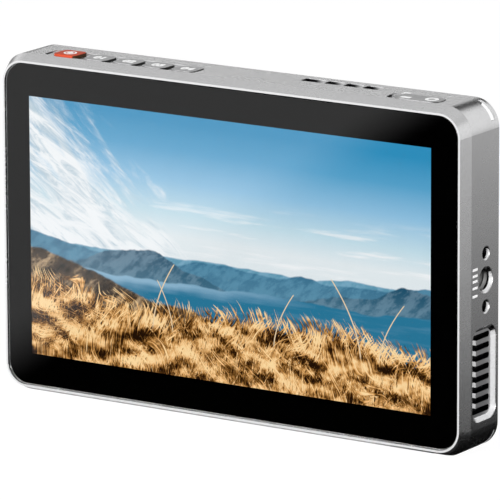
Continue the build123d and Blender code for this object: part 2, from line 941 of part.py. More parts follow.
def switch_bracket(left, right):
    """A tray for a switch board, hung from the top wall on a leg at each end."""
    depth = switch_board_depth + 2 * (bracket_lip + screw_fit)
    middle = (left + right) / 2
    tray = tower(Pos(middle, key_y) * Rectangle(right - left, depth), bracket_low, switch_board_top)
    inside = Rectangle(right - left - 2 * bracket_leg, switch_board_depth + 2 * screw_fit)
    tray = tray - tower(Pos(middle, key_y) * inside, switch_board_low, switch_board_top)
    for x in (left + bracket_leg / 2, right - bracket_leg / 2):
        leg = tower(Pos(x, key_y) * Rectangle(bracket_leg, switch_board_depth), bracket_low, inner_top)
        tray = tray + leg
        tray = tray - tower(Pos(x, key_y) * Circle(small_screw / 2 + screw_fit), bracket_low, inner_top)
    return tray


def switch_board(left, right):
    length = right - left - 2 * (bracket_leg + screw_fit)
    face = Pos((left + right) / 2, key_y) * Rectangle(length, switch_board_depth)
    return tower(face, switch_board_low, switch_board_top)


def power_slider():
    place = Pos(slider_offset, slider_y)
    top = body_height + slider_rise
    knob = tower(place * RectangleRounded(slider_length, slider_depth, slider_corner), slider_base_z, top)
    knob = fillet(knob.faces().sort_by(Axis.Z)[-1].edges(), slider_round)
    stem = place * Rectangle(slider_stem_length, slider_stem_depth)
    return knob + tower(stem, inner_top - slide_stem_reach, slider_base_z)


def slide_switch():
    place = Pos(slider_offset - slider_travel / 2, slider_y)
    top = inner_top - slide_switch_gap
    body = tower(place * Rectangle(slide_switch_long, slide_switch_wide), switch_board_top, top)
    channel_long = slider_stem_length + slider_travel + 2 * slider_gap
    channel = place * Rectangle(channel_long, slider_stem_depth + 2 * slider_gap)
    return body - tower(channel, inner_top - slide_stem_reach - slider_gap, top)


def indicator_pipes():
    return group([
        tower(Pos(x, front + light_setback) * Circle(light_size / 2 - screw_fit), inner_top, body_height)
        for x in lights_at
    ])


# Connectors
def hollow_port(profile, opening, deep, floor, y, z):
    left = -half_width + port_recess
    shell = beam(Pos(y, z) * profile, left, left + deep)
    return shell - beam(Pos(y, z) * opening, left - 1, left + deep - floor)


def hdmi_shell(z):
    profile = RectangleRounded(hdmi_wide, hdmi_long, 2 * shell_wall)
    opening = RectangleRounded(hdmi_wide - 2 * shell_wall, hdmi_long - 2 * shell_wall, shell_wall)
    return hollow_port(profile, opening, hdmi_deep, shell_wall, hdmi_y, z)


def hdmi_tongue(z):
    left = -half_width + port_recess
    blade = Rectangle(hdmi_wide / 4, hdmi_long - 6 * shell_wall)
    return beam(Pos(hdmi_y, z) * blade, left + 1, left + hdmi_deep - shell_wall)


def usb_shell():
    profile = SlotOverall(usb_long, usb_wide, rotation=90)
    opening = SlotOverall(usb_long - 2 * shell_wall, usb_wide - 2 * shell_wall, rotation=90)
    return hollow_port(profile, opening, usb_deep, shell_wall, usb_y, usb_z)


def usb_tongue():
    left = -half_width + port_recess
    blade = Rectangle(usb_wide / 4, usb_long - usb_wide)
    return beam(Pos(usb_y, usb_z) * blade, left + 1, left + usb_deep - shell_wall)


def headphone_jack():
    left = -half_width + port_recess
    barrel = beam(Pos(jack_y, jack_z) * Circle(jack_size / 2), left, left + jack_deep)
    block = Pos(jack_y, jack_z) * Rectangle(jack_size, jack_size)
    body = beam(block, -inner_half_width + port_gap, left + jack_deep)
    bore = Pos(jack_y, jack_z) * Circle(jack_bore / 2)
    return barrel + body - beam(bore, left, left + jack_deep - shell_wall)


def card_socket():
    outer = Rectangle(card_slot_long + 2 * card_shell, card_slot_thick + 2 * card_shell)
    low = wall + port_lift
    body = tower(Pos(card_x, card_y) * outer, low, low + card_deep)
    slot = Pos(card_x, card_y) * Rectangle(card_slot_long, card_slot_thick)
    return body - tower(slot, low, low + card_deep - card_shell)


def bent_strip(x, width, points):
    """A flat cable: straight runs of one strip through (y, z) points at right angles."""
    runs = []
    for start, end in zip(points, points[1:]):
        y = (start[0] + end[0]) / 2
        z = (start[1] + end[1]) / 2
        long_y = abs(start[0] - end[0]) + flex_thick
        long_z = abs(start[1] - end[1]) + flex_thick
        runs.append(beam(Pos(y, z) * Rectangle(long_y, long_z), x - width / 2, x + width / 2))
    return fuse(runs)


def display_flex():
    behind = tray_back + flex_thick
    low = mid_z - module_height / 2 + 2 * led_depth
    on_board = board_front - flex_thick / 2
    path = [(behind, low), (behind, flex_window_z), (on_board, flex_window_z)]
    return bent_strip(display_flex_x, display_flex_wide, path + [(on_board, flex_window_z + flex_landing)])


def touch_flex():
    behind = tray_back + flex_thick
    low = mid_z - module_height / 2 - ledge_gap / 2
    on_board = board_front - flex_thick / 2
    start = glass_back + flex_thick / 2 + screw_fit
    path = [(start, low), (behind, low), (behind, flex_window_z), (on_board, flex_window_z)]
    return bent_strip(touch_flex_x, touch_flex_wide, path + [(on_board, flex_window_z + flex_landing)])


def key_flex():
    rear = key_y + switch_board_depth / 2 + bracket_lip + 3 * flex_thick
    top = switch_board_top + flex_thick / 2 + screw_fit
    low = board_high - key_flex_drop
    x = (keys_at[0] + keys_at[1]) / 2
    start = key_y + switch_size / 2 + flex_thick
    path = [(start, top), (rear, top), (rear, low), (board_back + flex_thick / 2, low)]
    return bent_strip(x, key_flex_wide * 0.8, path)


# Rear cover, battery plate and release
latch_z = mid_z + latch_rise
latch_travel = latch_tongue_rise + latch_sink
spring_room = latch_travel + spring_solid
arm_back = cover_back - latch_skin - latch_gap
arm_front = arm_back - latch_arm_thick
pan_floor = arm_front - spring_room
latch_right = latch_pad_x + latch_pad_wide / 2 + 1


def latch_profile(grow):
    width = latch_right + latch_end + 2 * grow
    x = (latch_right - latch_end) / 2
    return panel(width, latch_arm_wide + 2 * grow, 1.5 + grow, x, latch_z)


def tongue_profile(grow):
    return patch(latch_tongue_long + 2 * grow, latch_tongue_wide + 2 * grow, 0, latch_z)


def pad_profile(grow):
    width = latch_pad_wide + 2 * grow
    height = latch_arm_wide - latch_pad_neck + 2 * grow
    return panel(width, height, latch_pad_corner + grow, latch_pad_x, latch_z)


plate_screw_x = plate_width / 2 - plate_screw_inset
plate_screw_z = plate_height / 2 - plate_screw_inset - block_wide - block_low
plate_screws_at = [(sx * plate_screw_x, mid_z + sz * plate_screw_z) for sx in (-1, 1) for sz in (-1, 1)]
block_z = mid_z - plate_height / 2 + block_low + block_wide / 2
blades_at = [index * blade_pitch for index in (-1, 0, 1)]


def rear_cover():
    cover = slab(outline(cover_inset, body_corner), cover_front, cover_back)
    pan = slab(latch_profile(latch_gap + latch_pan_wall), pan_floor - latch_pan_wall, cover_front)
    cover = cover + pan - slab(latch_profile(latch_gap), pan_floor, arm_back + latch_gap)
    cover = cover - slab(tongue_profile(latch_gap) + pad_profile(latch_gap), arm_back, cover_back)
    for x, z in cover_screws_at:
        cover = cover - slab(disc(cover_screw / 2 + head_gap, x, z), cover_front, cover_back)
        seat = disc(cover_screw_head / 2 + head_gap, x, z)
        cover = cover - slab(seat, cover_back - cover_screw_head_tall, cover_back)
    for x, z in plate_screws_at:
        cover = cover - slab(disc(small_screw / 2 + screw_fit, x, z), cover_front, cover_back)
    tail = patch(blades_at[-1] - blades_at[0] + blade_contact_wide, block_wide / 2, 0, block_z)
    cover = cover - slab(tail, cover_front, cover_back)
    rows = int((fan_eye_radius - intake_slot_wide / 2) / intake_slot_pitch)
    for index in range(-rows, rows + 1):
        half_long = math.sqrt(fan_eye_radius ** 2 - (index * intake_slot_pitch) ** 2)
        slot = SlotOverall(2 * half_long, intake_slot_wide)
        cover = cover - slab(Pos(fan_x, fan_z + index * intake_slot_pitch) * slot, cover_front, cover_back)
    for row in range(speaker_rows):
        for column in range(speaker_columns):
            x = speaker_x + (column - (speaker_columns - 1) / 2) * speaker_pitch
            z = speaker_z + (row - (speaker_rows - 1) / 2) * speaker_pitch
            cover = cover - slab(disc(speaker_hole / 2, x, z), cover_front, cover_back)
    return cover


def speaker():
    body = panel(speaker_long, speaker_wide, 1.5, speaker_x, speaker_z)
    return slab(body, cover_front - speaker_thick, cover_front)


def battery_plate():
    plate = slab(panel(plate_width, plate_height, plate_corner), cover_back, plate_back)
    edge = plate_width / 2
    for sign_x in (-1, 1):
        for sign_z in (-1, 1):
            z = mid_z + sign_z * rail_offset
            post = patch(rail_thick, rail_long, sign_x * (edge - rail_thick / 2), z)
            plate = plate + slab(post, plate_back, plate_back + rail_tall)
            hook_wide = rail_thick + rail_lip
            hook = patch(hook_wide, rail_long, sign_x * (edge - hook_wide / 2), z)
            hook_front = plate_back + rail_tall - rail_lip_thick
            plate = plate + slab(hook, hook_front, plate_back + rail_tall)
    plate = plate - slab(tongue_profile(latch_gap), cover_back, plate_back)
    for x, z in plate_screws_at:
        plate = plate - slab(disc(small_screw / 2 + head_gap, x, z), cover_back, plate_back)
        seat = disc(small_head / 2 + head_gap, x, z)
        plate = plate - slab(seat, plate_back - small_head_tall, plate_back)
    tail = patch(blades_at[-1] - blades_at[0] + blade_contact_wide, block_wide / 2, 0, block_z)
    return plate - slab(tail, cover_back, plate_back)


def blade_profile(x, grow):
    y = plate_back + block_tall / 2
    return Pos(x, y) * Rectangle(blade_contact_thick + 2 * grow, blade_contact_wide + 2 * grow)


def contact_block():
    block = slab(panel(block_long, block_wide, 0.8, 0, block_z), plate_back, plate_back + block_tall)
    top = block_z + block_wide / 2
    for x in blades_at:
        block = block - tower(blade_profile(x, screw_fit), top - blade_root, top)
    return block


def battery_contacts():
    top = block_z + block_wide / 2
    root = top - blade_root + screw_fit
    return group([tower(blade_profile(x, 0), root, top + blade_contact_long) for x in blades_at])


def battery_release():
    """Finger pad, arm under the plate and the tongue that locks the battery, in one piece."""
    arm = slab(latch_profile(-latch_gap), arm_front, arm_back)
    pad = slab(pad_profile(0), arm_back, cover_back + latch_pad_rise)
    pad = chamfer(pad.faces().sort_by(Axis.Y)[-1].edges(), latch_pad_rise / 2)
    tip = plate_back + latch_tongue_rise
    tongue = slab(tongue_profile(0), arm_back, tip)
    ramp_edge = tongue.faces().sort_by(Axis.Y)[-1].edges().sort_by(Axis.Z)[-1]
    return arm + pad + chamfer(ramp_edge, latch_tongue_rise * 0.9)


def latch_springs():
    springs = []
    length = spring_room - spring_wire - 2 * screw_fit
    for sign in (-1, 1):
        x = (latch_right - latch_end) / 2 + sign * spring_spread
        start = (x, pan_floor + spring_wire / 2 + screw_fit, latch_z)
        coil = Helix(length / spring_turns, length, spring_radius, center=start, direction=(0, 1, 0))
        section = Plane(origin=coil @ 0, z_dir=coil % 0) * Circle(spring_wire / 2)
        springs.append(sweep(section, path=coil, is_frenet=True))
    return group(springs)


# Screws
def machine_screw(x, z, seat, size, head, head_tall, length):
    """A screw along Y with its head towards the back and a hexagonal socket."""
    screw = slab(disc(size / 2, x, z), seat - length, seat)
    screw = screw + slab(disc(head / 2, x, z), seat, seat + head_tall)
    socket = Pos(x, z) * RegularPolygon(size / 2.6, 6)
    return screw - slab(socket, seat + head_tall * 0.35, seat + head_tall)


def small_screws(places, seat, clamped, grip=small_screw_grip):
    return group([
        machine_screw(x, z, seat, small_screw, small_head, small_head_tall, clamped + grip)
        for x, z in places
    ])


def cover_screws():
    seat = cover_back - cover_screw_head_tall
    length = seat - cover_front + cover_screw_grip
    return group([
        machine_screw(x, z, seat, cover_screw, cover_screw_head, cover_screw_head_tall, length)
        for x, z in cover_screws_at
    ])


def bracket_screws():
    screws = []
    for x in bracket_screws_at:
        place = Pos(x, key_y)
        shank = tower(place * Circle(small_screw / 2), bracket_low, inner_top + small_screw_grip)
        head = tower(place * Circle(small_head / 2), bracket_low - small_head_tall, bracket_low)
        screws.append(shank + head)
    return group(screws)


nodes = {
    "housing": housing(),
    "cover_glass": cover_glass(),
    "glass_tape": glass_tape(),
    "optical_adhesive": sheet(tray_wall, glass_back, cell_front),
    "lcd_cell": sheet(tray_gap, cell_front, film_front),
    "optical_films": sheet(tray_inside, film_front, guide_front),
    "light_guide": light_guide(),
    "led_strip": led_strip(),
    "backlight_tray": backlight_tray(),
    "display_pads": display_pads(),
    "chassis_plate": chassis_plate(),
    "main_board": main_board(),
    "processor": processor(),
    "memory_chips": memory_chips(),
    "shield_can": shield_can(),
    "power_coils": power_coils(),
    "thermal_pad": thermal_pad(),
    "heat_sink": heat_sink(),
    "fan_housing": fan_housing(),
    "fan_stator": fan_stator(),
    "fan_rotor": fan_rotor(),
    "fan_cover": fan_cover(),
    "vent_grille": vent_grille(),
    "mount_inserts": mount_inserts(),
    "record_button": key_cap(record_offset, record_width, record_rise, record_round),
    "tact_switches": tact_switches(),
    "key_board": switch_board(*bracket_spans[0]),
    "key_bracket": switch_bracket(*bracket_spans[0]),
    "power_slider": power_slider(),
    "slide_switch": slide_switch(),
    "power_board": switch_board(*bracket_spans[1]),
    "power_bracket": switch_bracket(*bracket_spans[1]),
    "indicator_pipes": indicator_pipes(),
    "hdmi_input": hdmi_shell(hdmi_in_z),
    "hdmi_output": hdmi_shell(hdmi_out_z),
    "hdmi_tongues": group([hdmi_tongue(z) for z in (hdmi_in_z, hdmi_out_z)]),
    "usb_port": usb_shell(),
    "usb_tongue": usb_tongue(),
    "headphone_jack": headphone_jack(),
    "card_socket": card_socket(),
    "display_flex": display_flex(),
    "touch_flex": touch_flex(),
    "key_flex": key_flex(),
    "rear_cover": rear_cover(),
    "speaker": speaker(),
    "battery_plate": battery_plate(),
    "contact_block": contact_block(),
    "battery_contacts": battery_contacts(),
    "battery_release": battery_release(),
    "latch_springs": latch_springs(),
    "cover_screws": cover_screws(),
    "plate_screws": small_screws(plate_screws_at, plate_back - small_head_tall, 0, plate_screw_grip),
    "board_screws": small_screws(board_screws_at, board_back, board_thick),
    "chassis_screws": small_screws(ears_at, chassis_back, chassis_thick),
    "fan_screws": small_screws(fan_screws_at, fan_floor, fan_wall, chassis_thick),
    "bracket_screws": bracket_screws(),
}
for index, x in enumerate(keys_at):
    nodes[f"key_{index + 1}"] = key_cap(x, key_width, key_rise, key_round)

os.makedirs("parts", exist_ok=True)
for name, shape in nodes.items():
    export_step(shape, f"parts/{name}.step")
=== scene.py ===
# Looks of a slim camera monitor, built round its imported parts. Lengths are in metres.
import math

import bpy
from mathutils import Matrix, Vector


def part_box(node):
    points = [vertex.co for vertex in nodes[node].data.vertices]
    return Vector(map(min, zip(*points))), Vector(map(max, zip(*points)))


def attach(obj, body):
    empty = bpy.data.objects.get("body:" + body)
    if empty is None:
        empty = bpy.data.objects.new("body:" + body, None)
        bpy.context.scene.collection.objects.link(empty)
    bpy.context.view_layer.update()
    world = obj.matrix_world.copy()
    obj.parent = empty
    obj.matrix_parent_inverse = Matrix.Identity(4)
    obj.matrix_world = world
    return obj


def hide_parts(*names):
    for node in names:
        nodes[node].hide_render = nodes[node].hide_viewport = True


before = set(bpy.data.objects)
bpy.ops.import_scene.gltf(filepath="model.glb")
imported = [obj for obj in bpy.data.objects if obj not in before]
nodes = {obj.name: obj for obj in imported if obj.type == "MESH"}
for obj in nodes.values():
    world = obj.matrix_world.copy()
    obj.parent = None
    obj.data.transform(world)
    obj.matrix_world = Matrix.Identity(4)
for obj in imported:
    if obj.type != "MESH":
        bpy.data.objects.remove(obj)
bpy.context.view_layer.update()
mm = 0.001
print("loaded", len(nodes), "nodes")

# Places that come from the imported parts
glassLow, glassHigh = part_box("cover_glass")
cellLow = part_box("lcd_cell")[0]
housingLow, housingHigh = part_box("housing")
stripLow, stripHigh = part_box("led_strip")
middleZ = (housingLow.z + housingHigh.z) / 2
frontY = housingLow.y
# the lit area sits a hair off the middle of the glass
screenWide = stripHigh.x - stripLow.x
screenTall = screenWide * 9 / 16 + 0.1 * mm
screenX = -0.38 * mm
screenZ = middleZ - 0.04 * mm


def pickOnly(piece):
    bpy.ops.object.select_all(action="DESELECT")
    piece.select_set(True)
    bpy.context.view_layer.objects.active = piece


def settle(piece, name, body, finish):
    # place goes into the mesh, then the piece gets its finish and its body
    pickOnly(piece)
    bpy.ops.object.transform_apply(location=True, rotation=True, scale=True)
    piece.name = name
    piece.data.name = name
    piece.data.materials.clear()
    piece.data.materials.append(finish)
    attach(piece, body)
    return piece


def joinAll(pieces):
    bpy.ops.object.select_all(action="DESELECT")
    for piece in pieces:
        piece.select_set(True)
    bpy.context.view_layer.objects.active = pieces[0]
    bpy.ops.object.join()
    return bpy.context.view_layer.objects.active


def finishModifiers(piece):
    pickOnly(piece)
    for modifier in list(piece.modifiers):
        bpy.ops.object.modifier_apply(modifier=modifier.name)


def mixColor(tree, factor, low, high):
    node = tree.nodes.new("ShaderNodeMix")
    node.data_type = "RGBA"
    plug(tree, factor, node.inputs[0])
    plug(tree, low, node.inputs[6])
    plug(tree, high, node.inputs[7])
    return node.outputs[2]


def plug(tree, value, socket):
    if isinstance(value, bpy.types.NodeSocket):
        tree.links.new(value, socket)
    elif isinstance(value, tuple) and len(value) == 3 and socket.type == "RGBA":
        socket.default_value = (*value, 1.0)
    else:
        socket.default_value = value


def calc(tree, operation, first, second=0.0, third=0.0, clamp=False):
    node = tree.nodes.new("ShaderNodeMath")
    node.operation = operation
    node.use_clamp = clamp
    plug(tree, first, node.inputs[0])
    plug(tree, second, node.inputs[1])
    plug(tree, third, node.inputs[2])
    return node.outputs[0]


def times(tree, first, *others):
    for other in others:
        first = calc(tree, "MULTIPLY", first, other)
    return first


def largest(tree, first, *others):
    for other in others:
        first = calc(tree, "MAXIMUM", first, other)
    return first


def minus(tree, first, second):
    return calc(tree, "SUBTRACT", first, second)


def ramp(tree, factor, stops):
    node = tree.nodes.new("ShaderNodeValToRGB")
    plug(tree, factor, node.inputs[0])
    elements = node.color_ramp.elements
    while len(elements) < len(stops):
        elements.new(0.5)
    for element, (place, color) in zip(elements, stops):
        element.position = place
        element.color = (*color, 1.0)
    return node.outputs[0]


def between(tree, value, low, high, outLow=0.0, outHigh=1.0):
    node = tree.nodes.new("ShaderNodeMapRange")
    node.interpolation_type = "SMOOTHSTEP"
    plug(tree, value, node.inputs[0])
    for index, number in enumerate((low, high, outLow, outHigh)):
        plug(tree, number, node.inputs[1 + index])
    return node.outputs[0]


def rise(tree, value, start, width=0.1 * mm):
    # from 0 to 1 over a short way after the start, or before it where the width is negative
    return between(tree, value, start, start + width)


def noise(tree, vector, scale, detail=4.0, roughness=0.55, distortion=0.0):
    node = tree.nodes.new("ShaderNodeTexNoise")
    plug(tree, vector, node.inputs["Vector"])
    plug(tree, scale, node.inputs["Scale"])
    node.inputs["Detail"].default_value = detail
    node.inputs["Roughness"].default_value = roughness
    node.inputs["Distortion"].default_value = distortion
    return node.outputs[0]


def stretched(tree, vector, scale=(1, 1, 1), shift=(0, 0, 0)):
    node = tree.nodes.new("ShaderNodeMapping")
    plug(tree, vector, node.inputs[0])
    node.inputs["Location"].default_value = shift
    node.inputs["Scale"].default_value = scale
    return node.outputs[0]


def objectPlace(tree):
    return tree.nodes.new("ShaderNodeTexCoord").outputs["Object"]


def trueNormal(tree):
    return tree.nodes.new("ShaderNodeNewGeometry").outputs["True Normal"]


def parts(tree, vector):
    split = tree.nodes.new("ShaderNodeSeparateXYZ")
    plug(tree, vector, split.inputs[0])
    return split.outputs


def along(tree, vector, direction):
    # how far a vector reaches in one direction
    node = tree.nodes.new("ShaderNodeVectorMath")
    node.operation = "DOT_PRODUCT"
    plug(tree, vector, node.inputs[0])
    plug(tree, direction, node.inputs[1])
    return node.outputs["Value"]


def newFinish(name):
    finish = bpy.data.materials.new(name)
    finish.use_nodes = True
    return finish, finish.node_tree, finish.node_tree.nodes["Principled BSDF"]


def newGroup(name, inputs, outputs):
    group = bpy.data.node_groups.new(name, "ShaderNodeTree")
    for socketName, kind, start in inputs:
        socket = group.interface.new_socket(socketName, in_out="INPUT", socket_type=kind)
        socket.default_value = start
    for socketName, kind in outputs:
        group.interface.new_socket(socketName, in_out="OUTPUT", socket_type=kind)
    source = group.nodes.new("NodeGroupInput")
    sink = group.nodes.new("NodeGroupOutput")
    return group, source, sink


def useGroup(tree, group, **values):
    node = tree.nodes.new("ShaderNodeGroup")
    node.node_tree = group
    for socketName, value in values.items():
        plug(tree, value, node.inputs[socketName])
    return node


def makeGrain():
    # fine pits of blasted metal or moulded plastic
    numbers = [("scale", "NodeSocketFloat", 5000.0), ("depth", "NodeSocketFloat", 0.2)]
    outputs = [("normal", "NodeSocketVector"), ("mask", "NodeSocketFloat")]
    group, source, sink = newGroup("surface grain", numbers, outputs)
    fine = noise(group, objectPlace(group), source.outputs["scale"], 3.0, 0.6)
    bump = group.nodes.new("ShaderNodeBump")
    bump.inputs["Distance"].default_value = 0.02 * mm
    plug(group, source.outputs["depth"], bump.inputs["Strength"])
    plug(group, fine, bump.inputs["Height"])
    plug(group, bump.outputs[0], sink.inputs["normal"])
    plug(group, between(group, fine, 0.35, 0.65), sink.inputs["mask"])
    return group


def makeEdge():
    # where a corner is sharp: the finish is worn a little brighter there
    numbers = [("radius", "NodeSocketFloat", 0.2 * mm)]
    group, source, sink = newGroup("worn edge", numbers, [("mask", "NodeSocketFloat")])
    bevel = group.nodes.new("ShaderNodeBevel")
    bevel.samples = 6
    plug(group, source.outputs["radius"], bevel.inputs["Radius"])
    worn = between(group, along(group, bevel.outputs[0], trueNormal(group)), 0.985, 0.86)
    patchy = between(group, noise(group, objectPlace(group), 700.0, 3.0), 0.3, 0.62)
    plug(group, times(group, worn, patchy), sink.inputs["mask"])
    return group


def makeHandling():
    # faint cloudy marks left by hands and cloths
    numbers = [("amount", "NodeSocketFloat", 0.1), ("level", "NodeSocketFloat", 0.4)]
    group, source, sink = newGroup("handling marks", numbers, [("roughness", "NodeSocketFloat")])
    place = objectPlace(group)
    cloud = noise(group, place, 60.0, 5.0, 0.6, 0.8)
    streak = noise(group, stretched(group, place, (40, 400, 900)), 1.0, 3.0)
    both = calc(group, "MULTIPLY_ADD", streak, 0.4, times(group, cloud, 0.6))
    swing = times(group, minus(group, both, 0.5), source.outputs["amount"])
    plug(group, calc(group, "ADD", source.outputs["level"], swing), sink.inputs["roughness"])
    return group


grain = makeGrain()
wornEdge = makeEdge()
handling = makeHandling()
print("shared effects ready")


def roughen(tree, shader, pits, roughness, amount):
    # grain and handling marks, shared by all the finishes
    marked = useGroup(tree, handling, amount=amount, level=roughness)
    plug(tree, marked.outputs["roughness"], shader.inputs["Roughness"])
    plug(tree, pits.outputs["normal"], shader.inputs["Normal"])


def plainFinish(name, color, roughness, metallic=0.0, grainScale=5000.0, grainDepth=0.2,
                edgeColor=None, edgeRadius=0.2 * mm, tint=0.08, specular=0.5):
    # the common build of the metal and plastic finishes
    finish, tree, shader = newFinish(name)
    pits = useGroup(tree, grain, scale=grainScale, depth=grainDepth)
    darker = tuple(c * (1 - tint) for c in color)
    lighter = tuple(min(1.0, c * (1 + tint)) for c in color)
    cloud = between(tree, noise(tree, objectPlace(tree), 120.0, 4.0), 0.3, 0.7)
    body = mixColor(tree, cloud, darker, lighter)
    body = mixColor(tree, times(tree, pits.outputs["mask"], tint), body, lighter)
    if edgeColor:
        worn = useGroup(tree, wornEdge, radius=edgeRadius)
        body = mixColor(tree, worn.outputs["mask"], body, edgeColor)
    plug(tree, body, shader.inputs["Base Color"])
    roughen(tree, shader, pits, roughness, 0.12)
    shader.inputs["Metallic"].default_value = metallic
    shader.inputs["Specular IOR Level"].default_value = specular
    return finish


def dress(finish, *names):
    for name in names:
        for slot in nodes[name].material_slots:
            slot.material = finish


housingLook = {
    "color": (0.67, 0.67, 0.675),
    "lipColor": (0.79, 0.79, 0.795),
    # painted shade: lip colour where it faces down
    "lipUnderShade": (0.70, 0.70, 0.705),
    "rearEdge": 0.32 * mm,  # dark line beside the rear cover
    # painted light: colour of inner walls that face the light
    "paintedLightColor": (0.88, 0.88, 0.885),
    # painted light on such walls in the shallow key pockets, a mid grey
    "pocketPaintedLight": (0.50, 0.50, 0.505),
    "shadeColor": (0.006, 0.006, 0.007),
    "roughness": 0.27,
    "metallic": 1.0,
    # metallic of the cut lip and of the walls with painted light
    "lipAndLitWallMetallic": 0.05,
    "grainScale": 5200.0,
    # what lies deeper than the skin is a wall of an opening, but not in the nose or at the rear
    "skin": 0.16 * mm,
    "cornerStart": 60.5 * mm,
    "noseDeep": 3.45 * mm,
    "rearRoom": 0.45 * mm,
    "corner": 7.0 * mm,
    "mouth": 0.75 * mm,  # lit part of the mount holes
    "mountReach": 11.0 * mm,  # above and below the middle
    "ventTop": 8.0 * mm,  # below the middle
    # painted shade: the vent opening is dark from ventDeep on
    "ventRoom": 8.0 * mm,  # in from the side, dark from ventDeep on
    "ventDeep": 2.45 * mm,
    "grooveTop": 9.0 * mm,
    "pocketBack": 11.6 * mm,  # from the front: key pockets before it, intakes behind it
    "pocketDeep": 1.2 * mm,
    "intakeDeep": 3.0 * mm,
    "intakeRight": 38.8 * mm,
    "intakePitch": 5.7 * mm,
    # painted shade in the intakes: none within the first length from each slot's right end, full
    # beyond the second
    "intakeFade": (0.6 * mm, 3.8 * mm),
    # in pitches from the right: where the intakes begin, where the long one does, where they end
    "intakeSteps": (-0.06, 3.9, 4.4),
}
lightSide = (0.0, -0.8, 0.6)


def insideMask(tree):
    # walls of the holes, slots and pockets: deeper than the outer skin and away from corners
    look = housingLook
    x, y, z = parts(tree, objectPlace(tree))
    wide = calc(tree, "ABSOLUTE", x)
    fromSide = minus(tree, housingHigh.x, wide)
    fromBase = minus(tree, z, housingLow.z)
    upright = calc(tree, "MINIMUM", minus(tree, housingHigh.z, z), fromBase)
    nearest = calc(tree, "MINIMUM", fromSide, upright)
    inside = between(tree, nearest, look["skin"] * 0.6, look["skin"] * 1.4)
    room = housingHigh.x - look["cornerStart"]
    atCorner = between(tree, upright, 0.8 * room, 0.7 * room)
    atCorner = times(tree, atCorner, between(tree, fromSide, room, 0.9 * room))
    middle = times(tree, rise(tree, y, frontY + look["noseDeep"]),
                   rise(tree, y, housingHigh.y - look["rearRoom"], -0.1 * mm))
    inside = times(tree, inside, minus(tree, 1.0, atCorner), middle)
    # painted shade: the mount holes are painted dark below their mouths
    height = calc(tree, "ABSOLUTE", minus(tree, z, middleZ))
    belowMouth = between(tree, fromSide, look["mouth"] * 0.9, look["mouth"] * 1.1)
    bore = times(tree, rise(tree, height, look["mountReach"], -1.0 * mm), belowMouth, inside)
    # the opening behind the grille gets the same painted shade
    vent = times(tree, rise(tree, z, middleZ - look["ventTop"], -1.0 * mm),
                 rise(tree, fromSide, look["ventRoom"], -1.0 * mm),
                 rise(tree, fromSide, look["ventDeep"]), inside)
    # and so do the grooves at the lower rear corners
    groove = times(tree, atCorner, rise(tree, fromBase, look["grooveTop"], -1.0 * mm),
                   rise(tree, cornerDepth(tree, wide, z), 0.1 * mm), middle)
    return inside, largest(tree, bore, vent, groove)


def cornerDepth(tree, wide, z):
    # how deep a place lies under the rounded lower corners
    corner = housingLook["corner"]
    x = largest(tree, minus(tree, wide, housingHigh.x - corner), 0.0)
    down = largest(tree, minus(tree, housingLow.z + corner, z), 0.0)
    squares = calc(tree, "MULTIPLY_ADD", x, x, times(tree, down, down))
    return minus(tree, corner, calc(tree, "SQRT", squares))


def pocketTones(tree):
    # in the top: shallow pockets get a dimmer painted light than other walls, and the intakes get
    # painted shade that fades from dark to bright
    look = housingLook
    x, y, z = parts(tree, objectPlace(tree))
    fromTop = minus(tree, housingHigh.z, z)
    back = minus(tree, y, frontY)
    shallow = times(tree, rise(tree, fromTop, look["pocketDeep"], -0.2 * mm),
                    rise(tree, back, look["pocketBack"], -0.1 * mm))
    atIntake = times(tree, rise(tree, fromTop, look["intakeDeep"], -0.2 * mm),
                     rise(tree, back, look["pocketBack"]))
    first, long, end = look["intakeSteps"]
    steps = calc(tree, "DIVIDE", minus(tree, look["intakeRight"], x), look["intakePitch"])
    fromRight = times(tree, calc(tree, "FRACT", steps), look["intakePitch"])
    shade = between(tree, fromRight, *look["intakeFade"])
    shade = largest(tree, shade, rise(tree, steps, long, 0.1))
    aside = times(tree, rise(tree, steps, end, -0.1), rise(tree, steps, first, 0.03))
    return shallow, times(tree, atIntake, aside, shade)


def wallTones(tree, inside, deep, unlit=0.0):
    # inner walls that face the light are bright, the others lie in the dark; deep is always dark
    normal = trueNormal(tree)
    lit = along(tree, normal, lightSide)
    level = between(tree, parts(tree, normal)[2], 0.95, 0.85)
    dark = times(tree, inside, between(tree, lit, 0.34, 0.12))
    bright = times(tree, inside, level, between(tree, lit, 0.26, 0.40))
    bright = times(tree, bright, minus(tree, 1.0, largest(tree, deep, unlit)))
    return largest(tree, dark, deep), bright


